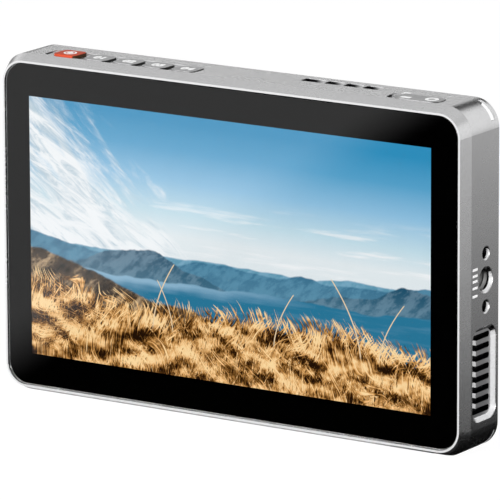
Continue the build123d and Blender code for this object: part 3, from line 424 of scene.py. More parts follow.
def housingMetal():
    # blasted and anodised metal; the lip is cut bright and painted darker as shade where it faces
    # down; inner walls of the openings that face the light get painted light, the others and the
    # deep places get painted shade
    look = housingLook
    finish, tree, shader = newFinish("anodised housing")
    place = objectPlace(tree)
    right, back, up = parts(tree, trueNormal(tree))
    inside, deep = insideMask(tree)
    shallow, shade = pocketTones(tree)
    dark, bright = wallTones(tree, inside, deep, shade)
    # painted shade in the intakes
    dark = largest(tree, dark, times(tree, inside, shade))
    lip = between(tree, back, -0.92, -0.96)
    pits = useGroup(tree, grain, scale=look["grainScale"], depth=0.22)
    streaks = noise(tree, stretched(tree, place, (60, 2500, 2500)), 1.0, 4.0, 0.6)
    cloud = noise(tree, place, 90.0, 5.0, 0.55, 0.4)
    mottle = noise(tree, place, 1500.0, 3.0, 0.6)
    color = look["color"]
    lighter = tuple(c * 1.12 for c in color)
    darker = tuple(c * 0.82 for c in color)
    body = mixColor(tree, between(tree, cloud, 0.3, 0.7), tuple(c * 0.95 for c in color), color)
    body = mixColor(tree, between(tree, mottle, 0.58, 0.30, 0.0, 0.4), body, darker)
    body = mixColor(tree, times(tree, streaks, 0.22), body, lighter)
    body = mixColor(tree, times(tree, pits.outputs["mask"], 0.10), body, lighter)
    worn = useGroup(tree, wornEdge, radius=0.12 * mm)
    body = mixColor(tree, times(tree, worn.outputs["mask"], 0.5), body, look["lipColor"])
    # painted shade: the lip is painted darker where it faces down
    under = between(tree, up, -0.08, -0.2)
    body = mixColor(tree, lip, body, mixColor(tree, under, look["lipColor"], look["lipUnderShade"]))
    # painted light: inner walls that face the light are painted light grey, a mid grey in the
    # shallow key pockets
    cut = mixColor(tree, shallow, look["paintedLightColor"], look["pocketPaintedLight"])
    body = mixColor(tree, bright, body, cut)
    # a thin dark line along the rear edge of the right side
    atRear = rise(tree, parts(tree, place)[1], housingHigh.y - look["rearEdge"], 0.06 * mm)
    rearLine = times(tree, atRear, between(tree, right, 0.5, 0.8))
    # painted shade: walls away from the light and the deep places take the dark colour; so does the
    # rear line
    body = mixColor(tree, largest(tree, dark, rearLine), body, look["shadeColor"])
    plug(tree, body, shader.inputs["Base Color"])
    roughen(tree, shader, pits, look["roughness"], 0.08)
    # the cut lip and the walls with painted light are almost not metallic
    lipAndLitWalls = largest(tree, lip, bright)
    metal = between(tree, lipAndLitWalls, 0.0, 1.0, look["metallic"], look["lipAndLitWallMetallic"])
    plug(tree, metal, shader.inputs["Metallic"])
    return finish


grilleLook = {
    "color": (0.62, 0.62, 0.625),
    # painted light on the free rib ends
    "ribEndLight": (0.99, 0.99, 0.99),
    # painted shade in the slots and on the sunk floor
    "dark": (0.004, 0.004, 0.004),
    "roughness": 0.3,
    "metallic": 0.85,
    "front": 1.05 * mm,  # the plate lies this deep in the side
    "ribStart": 7.4 * mm,
    "grainScale": 5200.0,
}


def grilleMetal():
    # ribs of the vent: metal fronts, free ends with painted light, slots and sunk floor in painted
    # shade
    look = grilleLook
    finish, tree, shader = newFinish("grille metal")
    place = objectPlace(tree)
    x, y = parts(tree, place)[:2]
    normal = parts(tree, trueNormal(tree))
    depth = minus(tree, housingHigh.x - look["front"], x)
    inside = between(tree, normal[0], 0.9, 0.7)
    sunk = between(tree, depth, 0.15 * mm, 0.3 * mm)
    # painted shade on the rib sides and on the walls behind the rib ends
    behindEnds = rise(tree, y, frontY + look["ribStart"] + 0.05 * mm, 0.07 * mm)
    sides = between(tree, calc(tree, "ABSOLUTE", normal[2]), 0.3, 0.5)
    dark, bright = wallTones(tree, inside, times(tree, inside, largest(tree, behindEnds, sides)))
    floorDark = times(tree, sunk, minus(tree, 1.0, inside))
    pits = useGroup(tree, grain, scale=look["grainScale"], depth=0.2)
    mottle = noise(tree, place, 1500.0, 3.0, 0.6)
    body = mixColor(tree, mottle, tuple(c * 0.85 for c in look["color"]), look["color"])
    # painted light on the free rib ends, painted shade in the slots and on the sunk floor
    body = mixColor(tree, bright, body, look["ribEndLight"])
    body = mixColor(tree, largest(tree, dark, floorDark), body, look["dark"])
    plug(tree, body, shader.inputs["Base Color"])
    roughen(tree, shader, pits, look["roughness"], 0.06)
    plug(tree, between(tree, bright, 0.0, 1.0, look["metallic"], 0.0), shader.inputs["Metallic"])
    return finish


pictureLook = {
    # sky from the horizon to the top
    "sky": (
        (0.53, (0.78, 0.85, 0.88)),
        (0.62, (0.55, 0.74, 0.83)),
        (0.74, (0.28, 0.54, 0.76)),
        (0.86, (0.095, 0.365, 0.61)),
        (0.97, (0.030, 0.280, 0.52)),
    ),
    "cloud": (0.90, 0.93, 0.95),
    "cloudGrey": (0.50, 0.62, 0.70),
    "lake": (0.023, 0.185, 0.32),
    "lakeLight": (0.26, 0.46, 0.62),
    "haze": (0.19, 0.40, 0.53),
    "earth": (
        (0.36, (0.006, 0.005, 0.004)),
        (0.50, (0.07, 0.045, 0.026)),
        (0.64, (0.48, 0.34, 0.20)),
    ),
    # height of the outline, its swing, its fineness, its seed, then the light and the dark side
    "ridges": (
        (0.455, 0.10, 1.4, 3.1, (0.19, 0.40, 0.55), (0.10, 0.30, 0.43)),
        (0.440, 0.22, 1.1, 8.7, (0.075, 0.24, 0.37), (0.026, 0.14, 0.25)),
        (0.395, 0.26, 1.5, 14.2, (0.105, 0.20, 0.28), (0.010, 0.075, 0.14)),
    ),
}


meadowLook = {
    # lengths in heights of the picture
    "line": 0.25,
    "tone": 0.40,
    "contrast": 4.4,
    "relief": 2.8,
    "clump": 6.0,
    "light": 0.055,
    "reach": 0.26,
    "gaps": (0.51, 0.55),
    "places": (0.20, 0.35, 0.48, 0.61, 0.74, 0.92),
    "shades": (
        (0.016, 0.006, 0.002),
        (0.15, 0.056, 0.009),
        (0.38, 0.175, 0.040),
        (0.68, 0.350, 0.105),
        (0.93, 0.53, 0.215),
        (1.0, 0.72, 0.37),
    ),
    # foot, height, bow and half width of each stalk
    "stalks": (
        (-0.34, 0.27, 0.10, 0.0035),
        (-0.25, 0.20, -0.07, 0.0028),
        (0.20, 0.22, 0.09, 0.0032),
        (0.58, 0.30, -0.13, 0.0038),
        (0.66, 0.24, 0.11, 0.0032),
    ),
    "stalkFoot": 0.16,
    "stalkColor": (0.86, 0.66, 0.42),
    # how high each sheet reaches, how it is combed, how fine and long its blades are, its seed
    "sheets": (
        (0.00, 14.0, 150.0, 8.0, 3.0),
        (0.02, -30.0, 140.0, 7.0, 9.0),
        (-0.03, 40.0, 125.0, 6.0, 17.0),
        (-0.08, 6.0, 120.0, 5.5, 23.0),
        (-0.12, -48.0, 115.0, 5.5, 31.0),
    ),
}


def ridgeLine(tree, across, base, height, coarse, seed, detail=6.0):
    # height of a mountain outline at each place across the picture
    wave = tree.nodes.new("ShaderNodeTexNoise")
    wave.noise_dimensions = "1D"
    plug(tree, calc(tree, "MULTIPLY_ADD", across, coarse, seed), wave.inputs["W"])
    wave.inputs["Scale"].default_value = 1.0
    wave.inputs["Detail"].default_value = detail
    wave.inputs["Roughness"].default_value = 0.48
    return calc(tree, "MULTIPLY_ADD", minus(tree, wave.outputs[0], 0.5), height, base)


def below(tree, up, line, soft=0.004):
    return between(tree, minus(tree, line, up), -soft, soft)


def screenPicture():
    # a made-up lake view: sky, ridges, water and dry grass
    look = pictureLook
    finish, tree, shader = newFinish("display picture")
    place = parts(tree, objectPlace(tree))
    across = calc(tree, "DIVIDE", place[0], screenTall)
    up = calc(tree, "MULTIPLY_ADD", place[2], 1 / screenTall, 0.5 - screenZ / screenTall)
    flat = tree.nodes.new("ShaderNodeCombineXYZ")
    plug(tree, across, flat.inputs[0])
    plug(tree, up, flat.inputs[1])
    spot = flat.outputs[0]

    # sky, deeper towards the top, with a fan of thin cloud on the left
    sky = ramp(tree, calc(tree, "MULTIPLY_ADD", across, 0.02, up), look["sky"])
    veil = between(tree, calc(tree, "MULTIPLY_ADD", up, 0.95, across), 0.62, -0.10)
    broad = combed(tree, spot, math.radians(43), (0.9, 4.2, 1), (0.3, 0.2, 0))
    narrow = combed(tree, spot, math.radians(32), (1.8, 9, 1), (0.7, 0.1, 0))
    wisps = noise(tree, broad, 2.1, 9.0, 0.66, 1.1)
    fine = noise(tree, narrow, 2.4, 9.0, 0.68, 0.9)
    heavy = calc(tree, "MULTIPLY_ADD", wisps, 1.3, calc(tree, "MULTIPLY_ADD", fine, 0.5, -0.85))
    heavy = calc(tree, "ADD", heavy, times(tree, veil, 0.75))
    cloudMask = times(tree, between(tree, heavy, 0.38, 0.85), between(tree, veil, 0.02, 0.25))
    cloudColor = mixColor(tree, between(tree, fine, 0.36, 0.56), look["cloudGrey"], look["cloud"])
    sky = mixColor(tree, cloudMask, sky, cloudColor)
    bands = noise(tree, stretched(tree, spot, (1.1, 11, 1), (0.8, 0.1, 0)), 1.6, 7.0, 0.55)
    lowBand = times(tree, between(tree, bands, 0.52, 0.66), between(tree, up, 0.72, 0.58))
    sky = mixColor(tree, lowBand, sky, look["cloud"])

    # ridges, far to near
    rocks = noise(tree, combed(tree, spot, math.radians(-38), (1.0, 2.2, 1)), 10.0, 9.0, 0.68)
    picture = sky
    for base, height, coarse, seed, light, dark in look["ridges"]:
        line = ridgeLine(tree, across, base, height, coarse, seed)
        faces = mixColor(tree, between(tree, rocks, 0.42, 0.58), dark, light)
        haze = between(tree, up, base - 0.10, base + 0.10, 0.30, 0.0)
        faces = mixColor(tree, haze, faces, look["haze"])
        picture = mixColor(tree, below(tree, up, line), picture, faces)

    # lake, lighter under the far shore
    shore = ridgeLine(tree, across, 0.355, 0.07, 2.6, 21.0, 4.0)
    ripple = noise(tree, stretched(tree, spot, (2.2, 26, 1)), 1.5, 5.0, 0.5)
    farWater = between(tree, minus(tree, shore, up), 0.05, 0.0)
    glare = times(tree, farWater, between(tree, across, 0.5, -0.3))
    sheen = calc(tree, "MULTIPLY_ADD", minus(tree, ripple, 0.5), 0.9, glare, True)
    water = mixColor(tree, sheen, look["lake"], look["lakeLight"])
    picture = mixColor(tree, below(tree, up, shore), picture, water)

    # dark rocky slope that runs into the water
    spurFall = calc(tree, "MULTIPLY_ADD", across, -0.24, 0.20)
    spur = calc(tree, "ADD", spurFall, ridgeLine(tree, across, 0.0, 0.12, 2.0, 31.0, 7.0))
    earth = ramp(tree, rocks, look["earth"])
    picture = mixColor(tree, below(tree, up, spur, 0.006), picture, earth)
    picture = meadow(tree, spot, across, up, picture)

    shader.inputs["Base Color"].default_value = (0, 0, 0, 1)
    shader.inputs["Roughness"].default_value = 0.4
    shader.inputs["Specular IOR Level"].default_value = 0.0
    plug(tree, picture, shader.inputs["Emission Color"])
    shader.inputs["Emission Strength"].default_value = 1.0
    return finish


def combed(tree, spot, turn, scale, shift=(0, 0, 0)):
    # the place is turned before it is stretched, so that the streaks run the wanted way
    bend = tree.nodes.new("ShaderNodeVectorRotate")
    bend.rotation_type = "Z_AXIS"
    plug(tree, spot, bend.inputs["Vector"])
    plug(tree, turn, bend.inputs["Angle"])
    return stretched(tree, bend.outputs[0], scale, shift)


def meadow(tree, spot, across, up, behind):
    # sheets of thin blades, each combed another way, lie over each other from back to front
    look = meadowLook
    hill = ridgeLine(tree, across, 0.0, 0.16, 1.6, 44.0, 3.0)
    crest = calc(tree, "ADD", calc(tree, "MULTIPLY_ADD", across, -0.02, look["line"]), hill)
    picture = behind
    # clumps are lit from above: each is light at its head and dark at its root
    head = noise(tree, stretched(tree, spot, (1.0, 1.5, 1)), look["clump"], 3.0, 0.6)
    lower = stretched(tree, spot, (1.0, 1.5, 1), (0, look["light"], 0))
    root = noise(tree, lower, look["clump"], 3.0, 0.6)
    relief = times(tree, minus(tree, head, root), look["relief"])
    sway = noise(tree, spot, 3.2, 1.0)
    for index, (lift, turn, fine, long, seed) in enumerate(look["sheets"]):
        angle = calc(tree, "MULTIPLY_ADD", sway, 0.9, math.radians(turn) - 0.45)
        blades = combed(tree, spot, angle, (fine, long, 1), (seed, 0, 0))
        blades = noise(tree, blades, 1.0, 3.6, 0.66)
        tone = look["tone"] - 0.05 * index
        strand = calc(tree, "MULTIPLY_ADD", minus(tree, blades, 0.5), look["contrast"], tone)
        strand = calc(tree, "ADD", strand, relief)
        color = ramp(tree, strand, list(zip(look["places"], look["shades"])))
        tips = calc(tree, "MULTIPLY_ADD", blades, look["reach"], lift - look["reach"] / 2)
        cover = below(tree, up, calc(tree, "ADD", crest, tips), 0.006)
        if index:
            cover = times(tree, cover, between(tree, blades, *look["gaps"]))
        picture = mixColor(tree, cover, picture, color)
    return stalks(tree, across, up, picture)


def stalks(tree, across, up, behind):
    # a few long seed stalks rise over the crest and bow over
    look = meadowLook
    picture = behind
    for foot, tall, bow, wide in look["stalks"]:
        height = calc(tree, "DIVIDE", minus(tree, up, look["stalkFoot"]), tall)
        bent = calc(tree, "POWER", largest(tree, height, 0.0), 1.8)
        curve = calc(tree, "MULTIPLY_ADD", bent, bow, foot)
        line = between(tree, calc(tree, "ABSOLUTE", minus(tree, across, curve)), wide, wide * 0.4)
        line = times(tree, line, rise(tree, height, 0.0, 0.1), rise(tree, height, 1.0, -0.03))
        picture = mixColor(tree, line, picture, look["stalkColor"])
    return picture


def clearGlass():
    finish, tree, shader = newFinish("front glass")
    shader.inputs["Base Color"].default_value = (1, 1, 1, 1)
    shader.inputs["Transmission Weight"].default_value = 1.0
    shader.inputs["IOR"].default_value = 1.42
    smear = useGroup(tree, handling, amount=0.02, level=0.012)
    plug(tree, smear.outputs["roughness"], shader.inputs["Roughness"])
    return finish


def clearSheet():
    # cured clear adhesive: all but invisible between the glass and the cell
    finish, tree, shader = newFinish("optical adhesive")
    shader.inputs["Base Color"].default_value = (0.06, 0.065, 0.07, 1)
    shader.inputs["Roughness"].default_value = 0.3
    shader.inputs["Specular IOR Level"].default_value = 0.0
    haze = noise(tree, objectPlace(tree), 200.0, 3.0)
    plug(tree, between(tree, haze, 0.3, 0.7, 0.0, 0.006), shader.inputs["Alpha"])
    return finish


borderLook = {"inset": 0.35 * mm, "thick": 0.04 * mm, "sink": 0.03 * mm, "corner": 5.2 * mm}
bondLook = {"back": 0.02 * mm, "thick": 0.06 * mm}


def borderPrint(finish):
    # black ink fused to the back of the glass, open over the lit area
    look = borderLook
    wide = glassHigh.x - glassLow.x - 2 * look["inset"]
    tall = glassHigh.z - glassLow.z - 2 * look["inset"]
    y = glassHigh.y - look["sink"]
    upright = (math.radians(90), 0, 0)
    bpy.ops.mesh.primitive_plane_add(size=1, location=(0, y, middleZ), rotation=upright)
    piece = bpy.context.object
    piece.scale = (wide, tall, 1)
    pickOnly(piece)
    bpy.ops.object.transform_apply(location=False, rotation=False, scale=True)
    bpy.ops.object.mode_set(mode="EDIT")
    bpy.ops.mesh.bevel(offset=look["corner"], segments=10, affect="VERTICES")
    bpy.ops.object.mode_set(mode="OBJECT")
    hole = screenWindow(y)
    thicken = piece.modifiers.new("ink", "SOLIDIFY")
    thicken.thickness = look["thick"]
    thicken.offset = 0.0
    cut = piece.modifiers.new("window", "BOOLEAN")
    cut.object = hole
    cut.operation = "DIFFERENCE"
    cut.solver = "EXACT"
    finishModifiers(piece)
    bpy.data.objects.remove(hole)
    return settle(piece, "border_print", "monitor", finish)


def clearBond():
    # clear sheet between the glass and the cell, with a hair of room on both sides
    back = cellLow.y - bondLook["back"]
    low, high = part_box("optical_adhesive")
    middle = back - bondLook["thick"] / 2
    bpy.ops.mesh.primitive_cube_add(size=1, location=(0, middle, middleZ))
    piece = bpy.context.object
    piece.scale = (high.x - low.x, bondLook["thick"], high.z - low.z)
    pickOnly(piece)
    bpy.ops.object.transform_apply(location=False, rotation=False, scale=True)
    soft = piece.modifiers.new("soft edge", "BEVEL")
    soft.width = bondLook["thick"] * 0.3
    soft.segments = 2
    finishModifiers(piece)
    settle(piece, "clear_bond", "monitor", clearSheet())
    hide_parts("optical_adhesive")


def screenWindow(y):
    bpy.ops.mesh.primitive_cube_add(size=1, location=(screenX, y, screenZ))
    hole = bpy.context.object
    hole.scale = (screenWide, 2 * mm, screenTall)
    return hole


def blackInk():
    finish, tree, shader = newFinish("black glass ink")
    speck = noise(tree, objectPlace(tree), 900.0, 3.0)
    body = mixColor(tree, speck, (0.0003, 0.0003, 0.0003), (0.0007, 0.0007, 0.0007))
    plug(tree, body, shader.inputs["Base Color"])
    shader.inputs["Roughness"].default_value = 0.6
    shader.inputs["Specular IOR Level"].default_value = 0.0
    return finish


dress(housingMetal(), "housing")
dress(screenPicture(), "lcd_cell")
dress(clearGlass(), "cover_glass")
borderPrint(blackInk())
clearBond()
print("housing and screen ready")


def darkSkirt(finish, color):
    # the end walls of a cap lie in the shade of its hole
    tree = finish.node_tree
    shader = tree.nodes["Principled BSDF"]
    body = shader.inputs["Base Color"].links[0].from_socket
    skirt = between(tree, parts(tree, trueNormal(tree))[0], 0.30, 0.55)
    plug(tree, mixColor(tree, skirt, body, color), shader.inputs["Base Color"])
    return finish


# each: color, roughness, metallic, grain scale and depth, then the color of worn corners
capMetal = plainFinish("key cap metal", (0.40, 0.40, 0.405), 0.30, 0.9, 5200.0, 0.15)
capMetal = darkSkirt(capMetal, (0.012, 0.012, 0.012))
capRed = plainFinish("red cap", (0.72, 0.085, 0.03), 0.5, 0.0, 5200.0, 0.15, specular=0.2)
capRed = darkSkirt(capRed, (0.035, 0.014, 0.002))
coverPlastic = plainFinish("moulded cover", (0.028, 0.028, 0.030), 0.55, 0.0, 3800.0, 0.55,
                           (0.07, 0.07, 0.07))
blackPlastic = plainFinish("black plastic", (0.02, 0.02, 0.021), 0.5, 0.0, 4200.0, 0.35,
                           (0.06, 0.06, 0.06))
mattBlack = plainFinish("matt black plastic", (0.006, 0.006, 0.006), 0.8, 0.0, 4200.0, 0.35,
                        specular=0.1)
latchMetal = plainFinish("latch metal", (0.36, 0.36, 0.37), 0.36, 1.0, 5200.0, 0.2,
                         (0.8, 0.8, 0.8), 0.15 * mm)
steelBright = plainFinish("bright steel", (0.56, 0.55, 0.54), 0.26, 1.0, 3000.0, 0.1,
                          (0.85, 0.85, 0.84))
steelBlack = plainFinish("black screw", (0.06, 0.06, 0.065), 0.36, 0.9, 4200.0, 0.2,
                         (0.35, 0.35, 0.35))
nickel = plainFinish("nickel shell", (0.62, 0.60, 0.57), 0.24, 1.0, 2600.0, 0.1, (0.88, 0.86, 0.84))
gold = plainFinish("contact gold", (0.80, 0.56, 0.22), 0.26, 1.0, 3200.0, 0.1, (0.95, 0.8, 0.5))
board = plainFinish("circuit board", (0.012, 0.13, 0.075), 0.35, 0.0, 2200.0, 0.3,
                    (0.05, 0.25, 0.16), tint=0.3)
chip = plainFinish("chip resin", (0.016, 0.016, 0.018), 0.45, 0.0, 4500.0, 0.4, (0.05, 0.05, 0.05))
sheetMetal = plainFinish("rolled sheet", (0.52, 0.52, 0.53), 0.33, 1.0, 2400.0, 0.15,
                         (0.8, 0.8, 0.8))
finsBlack = plainFinish("black fins", (0.03, 0.03, 0.032), 0.4, 0.8, 4200.0, 0.25, (0.2, 0.2, 0.2))
foam = plainFinish("black foam", (0.012, 0.012, 0.012), 0.9, 0.0, 1800.0, 0.8, tint=0.3)
whiteFilm = plainFinish("white film", (0.82, 0.83, 0.84), 0.4, 0.0, 2200.0, 0.1)
pipeClear = plainFinish("light pipe", (0.90, 0.92, 0.93), 0.2, 0.0, 2200.0, 0.05)
flexAmber = plainFinish("flat cable", (0.30, 0.13, 0.03), 0.3, 0.0, 1400.0, 0.3, tint=0.25)
padBlue = plainFinish("gap filler", (0.28, 0.36, 0.52), 0.8, 0.0, 2600.0, 0.6, tint=0.2)
copper = plainFinish("windings", (0.60, 0.22, 0.09), 0.3, 1.0, 2600.0, 0.4, tint=0.25)
ledGlow = plainFinish("diode strip", (0.85, 0.78, 0.42), 0.4, 0.0, 2600.0, 0.1, tint=0.2)

dress(capMetal, "key_1", "key_2", "key_3", "key_4", "power_slider")
dress(capRed, "record_button")
dress(grilleMetal(), "vent_grille")
dress(latchMetal, "battery_release")
dress(coverPlastic, "rear_cover", "battery_plate")
dress(blackPlastic, "contact_block", "headphone_jack", "speaker")
dress(mattBlack, "fan_housing", "fan_rotor", "fan_cover")
dress(steelBright, "mount_inserts", "latch_springs", "tact_switches", "slide_switch")
dress(steelBlack, "cover_screws", "plate_screws", "board_screws", "chassis_screws", "fan_screws",
      "bracket_screws")
dress(nickel, "hdmi_input", "hdmi_output", "usb_port", "card_socket", "shield_can")
dress(gold, "battery_contacts", "hdmi_tongues", "usb_tongue")
dress(board, "main_board", "key_board", "power_board")
dress(chip, "processor", "memory_chips", "power_coils")
dress(sheetMetal, "chassis_plate", "backlight_tray", "key_bracket", "power_bracket")
dress(finsBlack, "heat_sink")
dress(foam, "glass_tape", "display_pads")
dress(whiteFilm, "optical_films", "light_guide")
dress(pipeClear, "indicator_pipes")
dress(flexAmber, "display_flex", "touch_flex", "key_flex")
dress(padBlue, "thermal_pad")
dress(copper, "fan_stator")
dress(ledGlow, "led_strip")
print("finishes ready")


threadLook = {
    "pitch": 1.27 * mm,
    "minor": 2.6 * mm,
    "major": 3.2 * mm,
    "outer": 4.3 * mm,
    "length": 7.2 * mm,
    "overlap": 0.05 * mm,
    "steps": 64,
    # how far the light reaches into the bore
    "lit": (1.3 * mm, 2.6 * mm),
}


def threadSteel():
    # crests that face the light shine, the rest of the bore is in the dark
    finish, tree, shader = newFinish("threaded steel")
    outward = between(tree, parts(tree, trueNormal(tree))[0], 0.2, 0.35)
    dark, bright = wallTones(tree, 1.0, minus(tree, 1.0, outward))
    pits = useGroup(tree, grain, scale=3000.0, depth=0.1)
    body = mixColor(tree, pits.outputs["mask"], (0.40, 0.39, 0.38), (0.50, 0.49, 0.48))
    body = mixColor(tree, bright, body, (0.90, 0.90, 0.89))
    depth = minus(tree, housingHigh.x, parts(tree, objectPlace(tree))[0])
    sunk = between(tree, depth, *threadLook["lit"], 0.0, 0.9)
    sunk = largest(tree, sunk, between(tree, outward, 0.0, 1.0, 0.0, 0.75))
    body = mixColor(tree, largest(tree, dark, sunk), body, (0.01, 0.01, 0.01))
    plug(tree, body, shader.inputs["Base Color"])
    roughen(tree, shader, pits, 0.3, 0.06)
    plug(tree, between(tree, bright, 0.0, 1.0, 0.9, 0.2), shader.inputs["Metallic"])
    return finish


def threadedBush():
    # a bush along +Z with its lower end at the origin: a tube and the ridge wound inside it
    look = threadLook
    bpy.ops.mesh.primitive_circle_add(vertices=look["steps"], radius=look["outer"])
    tube = bpy.context.object
    bpy.ops.object.mode_set(mode="EDIT")
    bpy.ops.mesh.extrude_region_move(TRANSFORM_OT_translate={"value": (0, 0, look["length"])})
    bpy.ops.object.mode_set(mode="OBJECT")
    thick = tube.modifiers.new("wall", "SOLIDIFY")
    thick.thickness = look["outer"] - look["major"]
    thick.offset = -1.0
    finishModifiers(tube)

    bpy.ops.mesh.primitive_circle_add(vertices=3, radius=look["pitch"] * 0.5)
    ridge = bpy.context.object
    half = look["pitch"] * 0.46
    root = look["major"] + look["overlap"]
    corners = [(root, 0, 0), (look["minor"], 0, half), (root, 0, 2 * half)]
    for vertex, corner in zip(ridge.data.vertices, corners):
        vertex.co = corner
    turns = (look["length"] - 2 * half) / look["pitch"]
    wind = ridge.modifiers.new("wind", "SCREW")
    wind.axis = "Z"
    wind.angle = turns * 2 * math.pi
    wind.screw_offset = turns * look["pitch"]
    wind.iterations = 1
    wind.steps = int(look["steps"] * turns)
    wind.render_steps = wind.steps
    wind.use_merge_vertices = False
    finishModifiers(ridge)
    pickOnly(ridge)
    bpy.ops.object.mode_set(mode="EDIT")
    bpy.ops.mesh.select_all(action="SELECT")
    bpy.ops.mesh.normals_make_consistent(inside=False)
    bpy.ops.object.mode_set(mode="OBJECT")
    return joinAll([tube, ridge])


def mountThreads():
    sideLow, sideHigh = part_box("mount_inserts")
    y = (sideLow.y + sideHigh.y) / 2
    side = threadedBush()
    side.location = (sideHigh.x - threadLook["length"], y, middleZ)
    side.rotation_euler = (0, math.radians(90), 0)
    pickOnly(side)
    bpy.ops.object.transform_apply(location=True, rotation=True, scale=True)
    base = threadedBush()
    base.location = (0, y, sideLow.z)
    pickOnly(base)
    bpy.ops.object.transform_apply(location=True, rotation=True, scale=True)
    piece = joinAll([side, base])
    settle(piece, "mount_threads", "monitor", threadSteel())
    pickOnly(piece)
    bpy.ops.object.shade_smooth_by_angle(angle=math.radians(35))
    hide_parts("mount_inserts")


mountThreads()
print("threads ready")


inkLook = {
    "lift": 0.01 * mm,
    "thick": 0.03 * mm,
    "numeral": 3.6 * mm,
    "bold": 0.16 * mm,
    "glow": 0.35,
    # radius and line width of the rings; the inner one of the record button is all but closed
    "recordRings": ((1.75 * mm, 0.45 * mm), (0.85 * mm, 0.84 * mm)),
    # on and behind the slider: size of each mark, and its place from the slider's right end,
    # its left end and its left back corner
    "sliderRing": (1.75 * mm, 0.75 * mm),
    "ringAt": (-3.4 * mm, 0.3 * mm),
    "sliderBar": (2.8 * mm, 1.5 * mm),
    "barAt": (3.1 * mm, -0.9 * mm),
    "dash": (2.0 * mm, 0.8 * mm),
    "dashAt": (0.4 * mm, 1.4 * mm),
    # height of each stroke beside the side thread, in mm from the middle
    "strokes": (3.5, 1.9, 0.5, -1.2, -3.3),
    "stroke": (2.3 * mm, 0.62 * mm),
    "strokeBack": 5.2 * mm,
}


def whiteInk():
    # a bright print: a little light of its own keeps it white on the grey metal
    finish = plainFinish("white print", (0.85, 0.85, 0.85), 0.5, 0.0, 5200.0, 0.2, tint=0.04)
    shader = finish.node_tree.nodes["Principled BSDF"]
    shader.inputs["Emission Color"].default_value = (1, 1, 1, 1)
    shader.inputs["Emission Strength"].default_value = inkLook["glow"]
    return finish


printFinish = whiteInk()


def numeral(text, place):
    # flat numeral on a face that looks up, read from the front
    bpy.ops.object.text_add(location=place)
    words = bpy.context.object
    words.data.body = text
    words.data.size = inkLook["numeral"]
    words.data.align_x = "CENTER"
    words.data.align_y = "CENTER"
    words.data.extrude = inkLook["thick"] / 2
    words.data.offset = inkLook["bold"]
    words.data.resolution_u = 4
    pickOnly(words)
    bpy.ops.object.convert(target="MESH")
    return bpy.context.object


def ringMark(place, radius, width):
    bpy.ops.mesh.primitive_circle_add(vertices=40, radius=radius, location=place)
    ring = bpy.context.object
    inner = 1 - width / radius
    bpy.ops.object.mode_set(mode="EDIT")
    bpy.ops.mesh.extrude_edges_move()
    bpy.ops.transform.resize(value=(inner, inner, 1), center_override=place)
    bpy.ops.object.mode_set(mode="OBJECT")
    thick = ring.modifiers.new("ink", "SOLIDIFY")
    thick.thickness = inkLook["thick"]
    thick.offset = 0.0
    finishModifiers(ring)
    return ring


def barMark(place, wide, deep):
    bpy.ops.mesh.primitive_cube_add(size=1, location=place)
    bar = bpy.context.object
    bar.scale = (wide, deep, inkLook["thick"])
    pickOnly(bar)
    bpy.ops.object.transform_apply(location=False, rotation=False, scale=True)
    bevel = bar.modifiers.new("soft", "BEVEL")
    bevel.width = inkLook["thick"] * 0.3
    bevel.segments = 2
    finishModifiers(bar)
    return bar


def topMiddle(name):
    # where a print sits on a cap
    low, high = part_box(name)
    return ((low.x + high.x) / 2, (low.y + high.y) / 2, high.z + inkLook["lift"])


def keyMarks():
    for index in range(4):
        name = f"key_{index + 1}"
        mark = numeral(f"0{index + 1}", topMiddle(name))
        settle(mark, f"numeral_{index + 1}", name, printFinish)
    place = topMiddle("record_button")
    marks = [ringMark(place, *ring) for ring in inkLook["recordRings"]]
    settle(joinAll(marks), "record_ring", "record_button", printFinish)


def sliderMarks():
    look = inkLook
    low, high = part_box("power_slider")
    y = (low.y + high.y) / 2
    z = high.z + look["lift"]
    ring = ringMark((high.x + look["ringAt"][0], y + look["ringAt"][1], z), *look["sliderRing"])
    bar = barMark((low.x + look["barAt"][0], y + look["barAt"][1], z), *look["sliderBar"])
    settle(joinAll([ring, bar]), "slider_marks", "power_slider", printFinish)
    # a faint dash on the housing behind the slider
    place = (low.x + look["dashAt"][0], high.y + look["dashAt"][1], housingHigh.z + look["lift"])
    dash = barMark(place, *look["dash"])
    settle(dash, "slider_dash", "monitor", printFinish)


def sideMarks():
    # short strokes in a column beside the thread
    x = housingHigh.x + inkLook["lift"]
    y = frontY + inkLook["strokeBack"]
    upright = Matrix.Rotation(math.radians(90), 4, "Z") @ Matrix.Rotation(math.radians(90), 4, "X")
    bars = []
    for height in inkLook["strokes"]:
        bar = barMark((0, 0, 0), *inkLook["stroke"])
        bar.matrix_world = Matrix.Translation((x, y, middleZ + height * mm)) @ upright
        bars.append(bar)
    settle(joinAll(bars), "side_strokes", "monitor", printFinish)


keyMarks()
sliderMarks()
sideMarks()
print("marks ready")


floorLook = {"half": 4.0, "color": 0.16, "white": 0.93}
worldFill = 0.30


def seenMask(tree):
    # rays that look straight at the backdrop: from the camera, and off metal or through glass
    rays = tree.nodes.new("ShaderNodeLightPath")
    seen = calc(tree, "MAXIMUM", rays.outputs["Is Camera Ray"], rays.outputs["Is Glossy Ray"])
    return calc(tree, "MAXIMUM", seen, rays.outputs["Is Transmission Ray"])


def makeFloor():
    bpy.ops.mesh.primitive_plane_add(size=2 * floorLook["half"], location=(0, 0, 0))
    floor = bpy.context.object
    floor.name = "floor"
    finish, tree, shader = newFinish("pale floor")
    level = floorLook["color"]
    shader.inputs["Base Color"].default_value = (level, level, level, 1)
    shader.inputs["Roughness"].default_value = 0.9
    shader.inputs["Specular IOR Level"].default_value = 0.0
    shader.inputs["Emission Color"].default_value = (1, 1, 1, 1)
    plug(tree, times(tree, seenMask(tree), floorLook["white"]), shader.inputs["Emission Strength"])
    floor.data.materials.append(finish)


